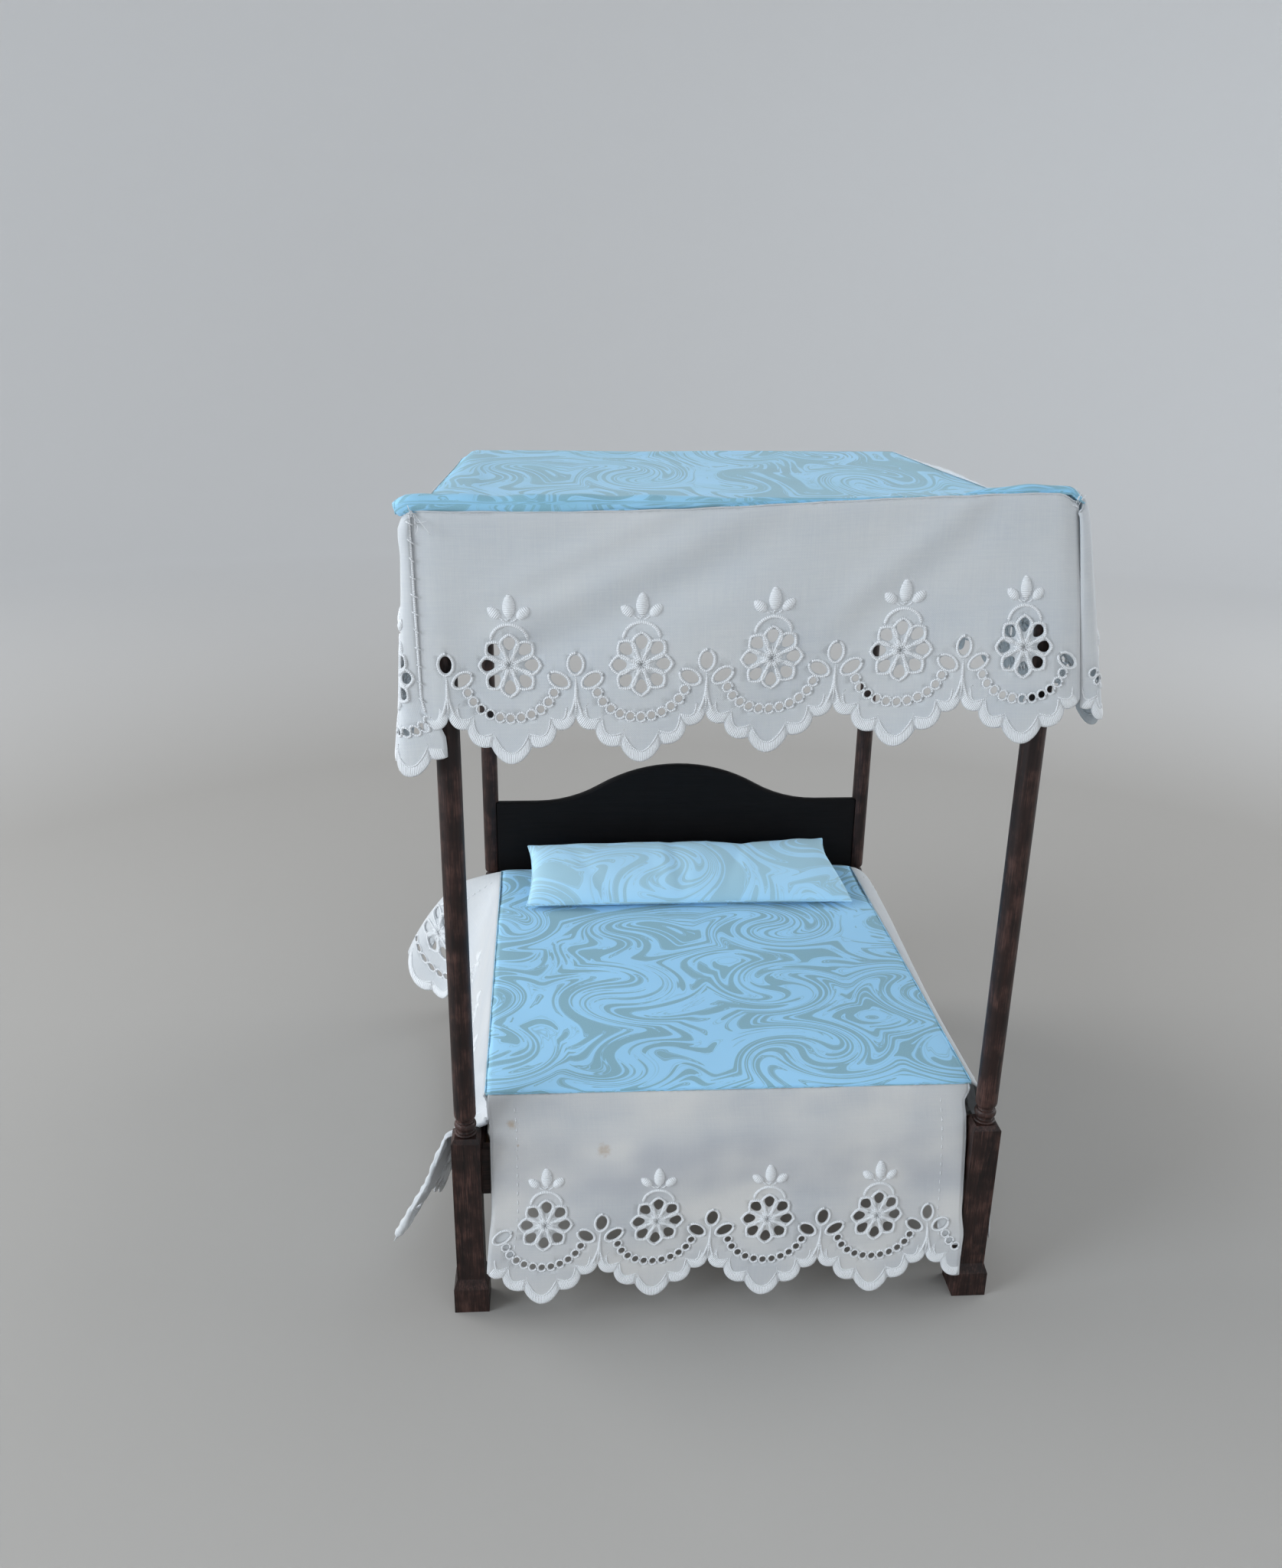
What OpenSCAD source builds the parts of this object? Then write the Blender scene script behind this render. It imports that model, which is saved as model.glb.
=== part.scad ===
// Miniature four poster bed, 1:12, with its canopy, coverlet, mattress and pillow.
// Origin: on the floor, midway between the four post axes.
// +X is the right side seen from the foot, +Y runs to the head, +Z is up.

/* [Bed frame] */
// Distance between the post axes across the bed
post_span_x = 130; // [110:1:150]
// Distance between the post axes along the bed
post_span_y = 154; // [150:1:180]
// Height of the posts up to the underside of the tester
post_h = 195.5; // [180:0.5:215]
// Top of the four bed rails
rail_top = 45.9; // [44:0.1:46]
// Height of the bed rails
rail_h = 13.2; // [10:0.1:16]
// Thickness of the bed rails
rail_t = 3; // [2:0.1:3.4]
// How far each rail's middle plane lies inside the post axes
rail_inset = 2.5; // [2:0.1:2.8]
// Length of the stub tenons at the rail ends
tenon_len = 1.4; // [1:0.1:1.8]

/* [Posts] */
// Width of the square plinth
plinth_w = 8.85; // [8:0.05:9.5]
// Height of the plinth below its chamfer
plinth_h = 7; // [5:0.5:9]
// Width of the square block above the plinth
block_w = 7; // [6:0.1:7.5]
// Height at which the square block ends
block_top = 50.5; // [48:0.5:50.5]
// Diameter of the turned shaft
shaft_d = 5.4; // [4.5:0.1:5.6]
// Diameter at the bottom of the coves on both sides of the bead
cove_d = 4.2; // [3.6:0.1:4.4]

/* [Headboard] */
// Thickness of the headboard
board_t = 3; // [2.4:0.1:3]
// Height of its shoulders at the posts
board_shoulder = 82.4; // [76:0.1:86]
// Rise of the crown above the shoulders
board_rise = 13.2; // [8:0.1:14]
// Radius of the convex crown
crown_r = 54; // [45:1:70]
// Radius of the concave sweeps beside the crown
sweep_r = 42; // [35:1:50]
// Rounding of the headboard's edges
board_edge = 1.1; // [0.4:0.1:1.3]

/* [Slats] */
// Number of slats across the bed
slat_count = 6; // [4:1:8]
// Width of one slat
slat_w = 12; // [8:1:14]
// Thickness of one slat
slat_t = 1.6; // [1.2:0.1:2]
// Side of the square ledger strips that carry the slats
ledger_w = 3; // [2:0.1:3.5]

/* [Tester] */
// Width of the tester rails
tester_w = 5; // [4:0.1:5]
// Thickness of the tester rails
tester_t = 3.5; // [2.5:0.1:3.6]
// How far the tester reaches outside the post axes
tester_out = 2.1; // [1.8:0.1:2.3]
// Diameter of the pin on top of each post
pin_d = 1.6; // [1:0.1:2]
// Depth of the pin's hole in the post
pin_depth = 6; // [4:0.5:8]

/* [Bedding] */
// Width of the mattress
mattress_w = 121; // [100:1:121]
// Length of the mattress
mattress_len = 143; // [130:1:143]
// Top of the mattress
mattress_top = 58.2; // [54:0.1:60]
// Corner radius of the mattress seen from above
mattress_r = 4; // [2:0.5:8]
// Width of the coverlet's printed panel
panel_w = 123; // [100:1:123]
// Front edge of the printed panel, along the bed
panel_front = -71; // [-71:0.5:-66]
// Back edge of the printed panel, along the bed
panel_back = 70.5; // [60:0.5:72]
// Width of the pillow
pillow_w = 106; // [80:1:112]
// Depth of the pillow from seam to seam
pillow_depth = 33; // [26:0.5:33]
// Thickness of the pillow
pillow_t = 11; // [8:0.5:12]
// Lean of the pillow against the headboard, in degrees
pillow_lean = 18.6; // [14:0.2:22]

/* [Lace drops] */
// Thickness of each cloth solid
cloth_t = 0.8; // [0.6:0.1:1]
// Bottom of the drop over the foot rail
foot_drop_z = 4.8; // [3:0.1:8]
// Bottom of the drops over the side rails
side_drop_z = 6.8; // [4:0.1:10]
// Reach of the foot drop's lower edge in front of the post axes
foot_drop_reach = 6.6; // [5.5:0.1:8]
// Reach of the left drop's lower edge outside the post axes
left_drop_reach = 16; // [12:0.5:16]
// Reach of the right drop's lower edge outside the post axes
right_drop_reach = 14.5; // [12:0.5:16]

/* [Canopy] */
// Left edge of the canopy
canopy_left = -70.4; // [-71:0.1:-70]
// Right edge of the canopy
canopy_right = 68; // [68:0.1:69]
// Front edge of the canopy
canopy_front = -81; // [-82:0.1:-81]
// Back edge of the canopy
canopy_back = 81; // [81:0.1:82]
// Rise of the canopy's front edge above the tester at its left end
front_rise_left = 2.4; // [1:0.1:4]
// Rise of the canopy's front edge above the tester at its right end
front_rise_right = 6.2; // [1:0.1:7]
// Lower edge of the lace valances
valance_z = 149.6; // [146:0.1:155]
// Outward flare of the side valances
side_flare = 8; // [4:0.5:10]
// Outward flare of the back valance
back_flare = 2.6; // [1:0.1:4]

/* [Hidden] */

$fn = 48;
LEFT = -1;
RIGHT = 1;
FRONT = -1;
BACK = 1;
eps = 0.01;
overcut = 1;            // how far a cutting shape reaches past the face that it cuts
gap = 0.3;              // air between cloth and the pieces that it lies on
rail_air = 0.5;         // air between the lace drops and the outside of the rails

walnut = [0.17, 0.10, 0.07];
ebony = [0.06, 0.05, 0.05];
raw_wood = [0.52, 0.38, 0.25];
steel = [0.7, 0.7, 0.72];
print_blue = [0.45, 0.66, 0.80];
cotton_white = [0.93, 0.93, 0.92];
ticking = [0.86, 0.84, 0.78];

post_x = post_span_x / 2;
post_y = post_span_y / 2;
rail_z = rail_top - rail_h;
rail_x = post_x - rail_inset;
rail_y = post_y - rail_inset;
block_inner = block_w / 2;
chamfer_h = 2.7;        // slope between plinth and block
block_chamfer_h = 1.1;  // slope on top of the block
tenon_t = 1.6;
tenon_h = 4.4;
end_tenon_drop = 1.6;   // from the rail's top down to the tenons of the head and foot rails
side_tenon_rise = 1.4;  // from the rail's underside up to the tenons of the side rails
end_tenon_z = rail_top - end_tenon_drop - tenon_h;
side_tenon_z = rail_z + side_tenon_rise;

collar_z = block_top + block_chamfer_h;
collar_h = 0.9;
cove_h = 0.9;
bead_h = 1.9;
shoulder_h = 1.2;
cove_depth = 0.15;      // how far a cove is hollowed below its own diameter
bead_z = collar_z + collar_h + cove_h;
shoulder_z = bead_z + bead_h + cove_h;

board_set_in = 0.5;     // from the post axes forward to the headboard's middle plane
groove_depth = 1.2;     // how deep the headboard's ends sit in the shafts of the posts
board_y = post_y - board_set_in;
board_foot = rail_top + gap;
board_half = post_x - shaft_d / 2 + groove_depth;
mattress_h = 16.2;      // from the slats up to the top of the mattress
mattress_y = 1;         // middle of the mattress along the bed
slat_top = mattress_top - mattress_h;
ledger_margin = 10;     // from the post axes to each end of a ledger
slat_margin = 16;       // from the post axes to the edge of the first and last slat
slat_play = 0.5;        // air between a slat's end and the side rail
ledger_top = slat_top - slat_t;
tester_x = post_x + tester_out - tester_w / 2;
tester_y = post_y + tester_out - tester_w / 2;
tester_top = post_h + tester_t;
canopy_air = 0.4;       // from the tester up to the canopy
canopy_z = tester_top + canopy_air;
fold_y = -66;           // where the canopy starts to rise towards its front edge
cover_z = mattress_top + gap;
knee_thicken = 0.2;     // extra cloth thickness where a drop bends over a rail
drop_play = 0.6;        // air between the foot drop and the block of each post
side_drop_margin = 0.5; // how far the side drops stop short of the panel's ends
pillow_x = 1;
pillow_front_y = 36.6;
pillow_front_z = 61;
pin_play = 0.02;        // how much thinner the pins are than their holes

// Half round bulge (or hollow, with a negative depth) as a stretch of a turned outline
function turned_arc(r, depth, z, h) =
    [for (a = [-90:15:90]) [r + depth * cos(a), z + h / 2 + h / 2 * sin(a)]];

// Square frustum from width w0 at the bottom to w1 at the top
module frustum(w0, w1, h) {
    intersection_for(turn = [0, 90])
        rotate([90, 0, turn])
            linear_extrude(2 * w0, center = true)
                polygon([[-w0 / 2, 0], [w0 / 2, 0], [w1 / 2, h], [-w1 / 2, h]]);
}

module turned_shaft() {
    cove_r = cove_d / 2;
    shaft_r = shaft_d / 2;
    rotate_extrude()
        polygon(concat(
            [[0, block_top], [cove_r, block_top]],
            turned_arc(cove_r, shaft_r - cove_r, collar_z, collar_h),
            turned_arc(cove_r, -cove_depth, collar_z + collar_h, cove_h),
            turned_arc(cove_r, shaft_r - cove_r, bead_z, bead_h),
            turned_arc(cove_r, -cove_depth, bead_z + bead_h, cove_h),
            [for (a = [0:15:90]) [cove_r + (shaft_r - cove_r) * sin(a),
                                  shoulder_z + shoulder_h * (1 - cos(a))]],
            [[shaft_r, post_h], [0, post_h]]
        ));
}

// Post for the back right corner; the others are its mirror images
module post_body(has_groove) {
    difference() {
        union() {
            translate([-plinth_w / 2, -plinth_w / 2, 0])
                cube([plinth_w, plinth_w, plinth_h]);
            translate([0, 0, plinth_h])
                frustum(plinth_w, block_w, chamfer_h);
            translate([-block_w / 2, -block_w / 2, plinth_h])
                cube([block_w, block_w, block_top - plinth_h]);
            translate([0, 0, block_top])
                frustum(block_w, shaft_d, block_chamfer_h);
            turned_shaft();
        }
        // mortise for the head or foot rail
        translate([-block_inner - eps, -rail_inset - tenon_t / 2, end_tenon_z])
            cube([tenon_len + eps, tenon_t, tenon_h]);
        // mortise for the side rail
        translate([-rail_inset - tenon_t / 2, -block_inner - eps, side_tenon_z])
            cube([tenon_t, tenon_len + eps, tenon_h]);
        // hole for the tester pin
        translate([0, 0, post_h - pin_depth])
            cylinder(h = pin_depth + overcut, d = pin_d);
        if (has_groove)
            translate([-block_inner - overcut, board_y - post_y - board_t / 2, board_foot])
                cube([block_inner + overcut - (post_x - board_half), board_t,
                      board_shoulder - board_foot]);
    }
}

module post(side, end) {
    color(walnut)
        translate([side * post_x, end * post_y, 0])
            mirror([side == LEFT ? 1 : 0, 0, 0])
                mirror([0, end == FRONT ? 1 : 0, 0])
                    post_body(end == BACK);
}

// Outline of the headboard: two concave sweeps that meet a convex crown
module board_outline(inset) {
    sweep_x = sqrt(2 * (crown_r + sweep_r) * board_rise - pow(board_rise, 2));
    meet = asin(sweep_x / (crown_r + sweep_r));
    crown_z = board_shoulder + board_rise - crown_r;
    sweep_z = board_shoulder + sweep_r;
    crown = crown_r - inset;
    sweep = sweep_r + inset;
    half = board_half - inset;
    polygon(concat(
        [[half, board_foot + inset], [half, board_shoulder - inset]],
        [for (i = [0:6]) let (a = meet * i / 6)
            [sweep_x - sweep * sin(a), sweep_z - sweep * cos(a)]],
        [for (i = [-7:8]) let (a = -meet * i / 8)
            [crown * sin(a), crown_z + crown * cos(a)]],
        [for (i = [0:5]) let (a = meet * (1 - (i + 1) / 6))
            [-sweep_x + sweep * sin(a), sweep_z - sweep * cos(a)]],
        [[-half, board_shoulder - inset], [-half, board_foot + inset]]
    ));
}

module headboard() {
    flat = board_t - 2 * board_edge;
    color(ebony)
        translate([0, board_y + flat / 2, 0])
            minkowski() {
                rotate([90, 0, 0]) linear_extrude(flat) board_outline(board_edge);
                sphere(r = board_edge, $fn = 12);
            }
}

// Rail across the bed between two posts, with a stub tenon at each end
module end_rail(end) {
    len = post_span_x - block_w;
    color(walnut)
        translate([0, end * rail_y, 0]) {
            translate([-len / 2, -rail_t / 2, rail_z])
                cube([len, rail_t, rail_h]);
            translate([-len / 2 - tenon_len, -tenon_t / 2, end_tenon_z])
                cube([len + 2 * tenon_len, tenon_t, tenon_h]);
        }
}

// Rail along the bed between two posts, with a stub tenon at each end
module side_rail(side) {
    len = post_span_y - block_w;
    color(walnut)
        translate([side * rail_x, 0, 0]) {
            translate([-rail_t / 2, -len / 2, rail_z])
                cube([rail_t, len, rail_h]);
            translate([-tenon_t / 2, -len / 2 - tenon_len, side_tenon_z])
                cube([tenon_t, len + 2 * tenon_len, tenon_h]);
        }
}

// Strip glued inside a side rail, which carries the slats' ends
module ledger(side) {
    len = post_span_y - 2 * ledger_margin;
    middle = rail_x - rail_t / 2 - ledger_w / 2;
    color(raw_wood)
        translate([side * middle - ledger_w / 2, -len / 2, ledger_top - ledger_w])
            cube([ledger_w, len, ledger_w]);
}

module slats() {
    len = 2 * (rail_x - rail_t / 2 - slat_play);
    first = -post_y + slat_margin + slat_w / 2;
    pitch = -2 * first / (slat_count - 1);
    color(raw_wood)
        for (i = [0:slat_count - 1])
            translate([-len / 2, first + i * pitch - slat_w / 2, ledger_top])
                cube([len, slat_w, slat_t]);
}

// Two pin holes at the ends of a tester rail that runs along X
module pin_holes(half) {
    for (side = [LEFT, RIGHT])
        translate([side * half, 0, -overcut])
            cylinder(h = tester_t + 2 * overcut, d = pin_d);
}

// Front or back rail of the tester; its ends are halved over the side rails
module tester_cross_rail(end) {
    half = post_x + tester_out;
    color(walnut)
        translate([0, end * tester_y, post_h])
            difference() {
                translate([-half, -tester_w / 2, 0])
                    cube([2 * half, tester_w, tester_t]);
                for (side = [LEFT, RIGHT])
                    translate([side * tester_x - tester_w / 2 - eps,
                               -tester_w / 2 - overcut, -overcut])
                        cube([tester_w + 2 * eps, tester_w + 2 * overcut,
                              overcut + tester_t / 2]);
                translate([0, end * (post_y - tester_y), 0])
                    pin_holes(post_x);
            }
}

// Left or right rail of the tester; its ends are halved under the cross rails
module tester_side_rail(side) {
    half = post_y + tester_out;
    color(walnut)
        translate([side * tester_x, 0, post_h])
            difference() {
                translate([-tester_w / 2, -half, 0])
                    cube([tester_w, 2 * half, tester_t]);
                for (end = [FRONT, BACK])
                    translate([-tester_w / 2 - overcut, end * tester_y - tester_w / 2 - eps,
                               tester_t / 2])
                        cube([tester_w + 2 * overcut, tester_w + 2 * eps, tester_t]);
                translate([side * (post_x - tester_x), 0, 0])
                    rotate([0, 0, 90]) pin_holes(post_y);
            }
}

module tester_pins() {
    color(steel)
        for (side = [LEFT, RIGHT], end = [FRONT, BACK])
            translate([side * post_x, end * post_y, post_h - pin_depth])
                cylinder(h = pin_depth + tester_t, d = pin_d - pin_play);
}

module mattress() {
    color(ticking)
        translate([0, mattress_y, slat_top + gap])
            linear_extrude(mattress_top - slat_top - gap)
                offset(r = mattress_r)
                    square([mattress_w - 2 * mattress_r, mattress_len - 2 * mattress_r],
                           center = true);
}

module coverlet_panel() {
    color(print_blue)
        translate([-panel_w / 2, panel_front, cover_z])
            cube([panel_w, panel_back - panel_front, cloth_t]);
}

// Cloth that leaves an edge at [0, edge_z], clears the top of a rail and hangs
// outwards, drawn with +X outwards and extruded along the edge
module drop(edge_z, rail_out, foot_out, foot_z, len) {
    knee_z = rail_top + gap;
    rotate([90, 0, 0])
        linear_extrude(len, center = true)
            polygon([
                [0, edge_z], [0, edge_z + cloth_t],
                [cloth_t / 2, edge_z + cloth_t],
                [rail_out + cloth_t, knee_z + knee_thicken],
                [foot_out + cloth_t, foot_z], [foot_out, foot_z],
                [rail_out, knee_z]
            ]);
}

module coverlet_drop_front() {
    color(cotton_white)
        translate([0, panel_front, 0])
            rotate([0, 0, -90])
                drop(cover_z, rail_y + rail_t / 2 + rail_air + panel_front,
                     post_y + foot_drop_reach + panel_front, foot_drop_z,
                     post_span_x - block_w - 2 * drop_play);
}

module side_drop(side, reach) {
    len = panel_back - panel_front - 2 * side_drop_margin;
    rail_out = rail_x + rail_t / 2 + rail_air - panel_w / 2;
    color(cotton_white)
        translate([side * panel_w / 2, (panel_front + panel_back) / 2, 0])
            mirror([side == LEFT ? 1 : 0, 0, 0])
                drop(cover_z, rail_out, post_x + reach - panel_w / 2, side_drop_z, len);
}

// Lens-shaped cushion with a seam along its front and back edges
module pillow() {
    lens_r = (pow(pillow_depth, 2) / pillow_t + pillow_t) / 4;
    half_angle = asin(pillow_depth / 2 / lens_r);
    color(print_blue)
        translate([pillow_x, pillow_front_y, pillow_front_z])
            rotate([pillow_lean, 0, 0])
                rotate([90, 0, 90])
                    linear_extrude(pillow_w, center = true)
                        polygon([for (s = [-1, 1], i = [0:9])
                            let (a = s * half_angle * (1 - i / 5))
                            [pillow_depth / 2 + s * lens_r * sin(-s * a),
                             s * (lens_r * cos(a) - lens_r + pillow_t / 2)]]);
}

module canopy_panel() {
    width = canopy_right - canopy_left;
    color(print_blue) {
        translate([canopy_left, fold_y, canopy_z])
            cube([width, canopy_back - fold_y, cloth_t]);
        hull() {
            translate([canopy_left, fold_y - eps, canopy_z])
                cube([width, eps, cloth_t]);
            translate([canopy_left, canopy_front, tester_top + front_rise_left])
                cube([eps, eps, cloth_t]);
            translate([canopy_right - eps, canopy_front, tester_top + front_rise_right])
                cube([eps, eps, cloth_t]);
        }
    }
}

module canopy_valance_front() {
    color(cotton_white)
        translate([0, canopy_front, 0])
            rotate([90, 0, 0])
                linear_extrude(cloth_t)
                    polygon([
                        [canopy_left, valance_z], [canopy_right, valance_z],
                        [canopy_right, tester_top + front_rise_right + cloth_t],
                        [canopy_left, tester_top + front_rise_left + cloth_t]
                    ]);
}

// Valance that hangs from the canopy's edge and flares out, +X outwards
module flared_valance(flare, len) {
    rotate([90, 0, 0])
        linear_extrude(len, center = true)
            polygon([
                [0, canopy_z], [0, canopy_z + cloth_t], [cloth_t, canopy_z + cloth_t],
                [flare + cloth_t, valance_z], [flare, valance_z]
            ]);
}

module canopy_valance_back() {
    color(cotton_white)
        translate([(canopy_left + canopy_right) / 2, canopy_back, 0])
            rotate([0, 0, 90])
                flared_valance(back_flare, canopy_right - canopy_left);
}

module canopy_valance_left() {
    color(cotton_white)
        translate([canopy_left, (canopy_front + canopy_back) / 2, 0])
            mirror([1, 0, 0])
                flared_valance(side_flare, canopy_back - canopy_front);
}

module canopy_valance_right() {
    color(cotton_white)
        translate([canopy_right, (canopy_front + canopy_back) / 2, 0])
            flared_valance(side_flare, canopy_back - canopy_front);
}

post(LEFT, FRONT);  // post_front_left
post(RIGHT, FRONT);  // post_front_right
post(LEFT, BACK);  // post_back_left
post(RIGHT, BACK);  // post_back_right
headboard();
end_rail(BACK);  // head_rail
end_rail(FRONT);  // foot_rail
side_rail(LEFT);  // side_rail_left
side_rail(RIGHT);  // side_rail_right
ledger(LEFT);  // ledger_left
ledger(RIGHT);  // ledger_right
slats();
tester_cross_rail(FRONT);  // tester_rail_front
tester_cross_rail(BACK);  // tester_rail_back
tester_side_rail(LEFT);  // tester_rail_left
tester_side_rail(RIGHT);  // tester_rail_right
tester_pins();
mattress();
coverlet_panel();
coverlet_drop_front();
side_drop(LEFT, left_drop_reach);  // coverlet_drop_left
side_drop(RIGHT, right_drop_reach);  // coverlet_drop_right
pillow();
canopy_panel();
canopy_valance_front();
canopy_valance_back();
canopy_valance_left();
canopy_valance_right();
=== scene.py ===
"""Looks of the miniature four poster bed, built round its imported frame.

Lengths are in millimetres in the row frame until a mesh is made, where they become metres.
"""
import math
import random

import bpy
import numpy as np
from mathutils import Matrix, Vector
from mathutils.geometry import delaunay_2d_cdt


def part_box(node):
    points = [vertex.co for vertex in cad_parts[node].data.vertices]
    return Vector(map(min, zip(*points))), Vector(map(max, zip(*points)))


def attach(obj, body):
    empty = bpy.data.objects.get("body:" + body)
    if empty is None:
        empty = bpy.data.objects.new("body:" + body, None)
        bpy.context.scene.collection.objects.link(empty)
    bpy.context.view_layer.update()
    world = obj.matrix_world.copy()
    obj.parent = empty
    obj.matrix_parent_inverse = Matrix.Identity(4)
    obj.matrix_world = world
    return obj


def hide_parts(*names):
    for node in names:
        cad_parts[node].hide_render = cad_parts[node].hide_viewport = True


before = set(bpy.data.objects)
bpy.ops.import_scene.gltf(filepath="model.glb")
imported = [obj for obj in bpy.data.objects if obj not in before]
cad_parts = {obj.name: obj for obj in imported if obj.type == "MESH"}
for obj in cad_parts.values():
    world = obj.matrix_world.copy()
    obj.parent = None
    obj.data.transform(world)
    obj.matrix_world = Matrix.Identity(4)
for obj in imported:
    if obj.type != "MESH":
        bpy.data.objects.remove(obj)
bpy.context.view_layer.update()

MM = 0.001
DEG = math.pi / 180
random.seed(12)


def box_mm(node):
    """Lowest and highest corner of a CAD node, in millimetres."""
    low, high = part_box(node)
    return np.array(low) / MM, np.array(high) / MM


# ------------------------------------ measures
PANEL_LOW, PANEL_HIGH = box_mm("coverlet_panel")
MATTRESS_LOW, MATTRESS_HIGH = box_mm("mattress")
PILLOW_LOW, PILLOW_HIGH = box_mm("pillow")
CANOPY_LOW, CANOPY_HIGH = box_mm("canopy_panel")
FOOT_LOW, FOOT_HIGH = box_mm("coverlet_drop_front")
TESTER_TOP = box_mm("tester_rail_left")[1][2]

REPEAT = 28.2           # one flower of the lace edging, in mm
FLOWER_RISE = 21.3      # from the lowest point of a scallop up to the flower's centre
DROP_DEPTH = 55.7       # coverlet lace at the foot and the right, seam to scallop
LEFT_DROP_DEPTH = 52.0
VALANCE_DEPTH = 52.8    # canopy lace, seam to scallop
LEFT_VALANCE_DEPTH = 56.4
CLOTH = 0.24            # thickness of the cotton


# ------------------------------------ mesh helpers
def make_mesh(name, points, faces, material, uv=None):
    """A mesh object from points in mm, with uv as one pair per point."""
    mesh = bpy.data.meshes.new(name)
    mesh.from_pydata((np.asarray(points, float) * MM).tolist(), [], faces)
    mesh.update()
    if uv is not None:
        layer = mesh.uv_layers.new(name="cloth")
        loops = np.zeros(len(mesh.loops), np.int32)
        mesh.loops.foreach_get("vertex_index", loops)
        layer.data.foreach_set("uv", np.asarray(uv, np.float32)[loops].ravel())
    mesh.shade_smooth()
    mesh.materials.append(material)
    piece = bpy.data.objects.new(name, mesh)
    bpy.context.scene.collection.objects.link(piece)
    return piece


def thicken(piece, thickness):
    """Gives a single-layer cloth its thickness, half to each side."""
    solid = piece.modifiers.new("thickness", "SOLIDIFY")
    solid.thickness = thickness * MM
    solid.offset = 0.0
    return piece


def weld(piece, name, reach):
    """Joins the shells of a closed piece where their edges meet within reach."""
    seam = piece.modifiers.new(name, "WELD")
    seam.merge_threshold = reach * MM


def grid_faces(rows, columns):
    """Quads of a grid whose points run along columns first."""
    index = np.arange(rows * columns).reshape(rows, columns)
    quads = np.stack([index[:-1, :-1], index[:-1, 1:], index[1:, 1:], index[1:, :-1]], -1)
    return quads.reshape(-1, 4).tolist()


def ease(x, low, high):
    """0 below low, 1 above high, smooth in between."""
    t = np.clip((np.asarray(x, float) - low) / (high - low), 0, 1)
    return t * t * (3 - 2 * t)


def bell(x, centre, width):
    """A smooth bump of height 1 at centre."""
    return np.exp(-((np.asarray(x, float) - centre) / width) ** 2)


def stacked(*parts):
    """Coordinates put together as points; a plain number is the same for every point."""
    return np.stack(np.broadcast_arrays(*parts), -1)


def circle(count):
    """Angles of points spread evenly round a circle."""
    return np.linspace(0, 2 * math.pi, count, endpoint=False)


def run_length(path):
    """Distance along a path at each of its points."""
    return np.concatenate([[0], np.cumsum(np.linalg.norm(np.diff(path, axis=0), axis=1))])


def normed(vectors):
    """Vectors along the last axis, scaled to length 1."""
    return vectors / (np.linalg.norm(vectors, axis=-1, keepdims=True) + 1e-9)


def carried(piece, body, node=None):
    """Ties a piece to its body, and hides the CAD node it stands for."""
    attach(piece, body)
    if node:
        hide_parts(node)
    return piece


def ring_faces(rows, sides, closed=False):
    """Faces of a tube made of rows of rings, with end caps unless it is closed."""
    faces = []
    for i in range(rows if closed else rows - 1):
        j = (i + 1) % rows
        for k in range(sides):
            m = (k + 1) % sides
            faces.append([i * sides + k, j * sides + k, j * sides + m, i * sides + m])
    if not closed:
        faces += [list(range(sides)), list(range(rows * sides - 1, (rows - 1) * sides - 1, -1))]
    return faces


class Parts:
    """Points, faces and cloth coordinates of several shapes gathered into one piece."""

    def __init__(self):
        self.points, self.faces, self.uv, self.count = [], [], [], 0

    def add(self, points, faces, uv):
        """One more shape, with its own points, faces among them and a uv pair per point."""
        self.points.append(np.asarray(points, float))
        self.uv.append(np.asarray(uv, float))
        self.faces += [[i + self.count for i in face] for face in faces]
        self.count += len(points)

    def mesh(self, name, material, drape=None):
        """The piece, hung on a drape if its points are pattern places."""
        points = np.concatenate(self.points)
        faces = self.faces
        if drape:
            points, faces = drape.at(points), drape.wound(faces)
        return make_mesh(name, points, faces, material, np.concatenate(self.uv))


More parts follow.
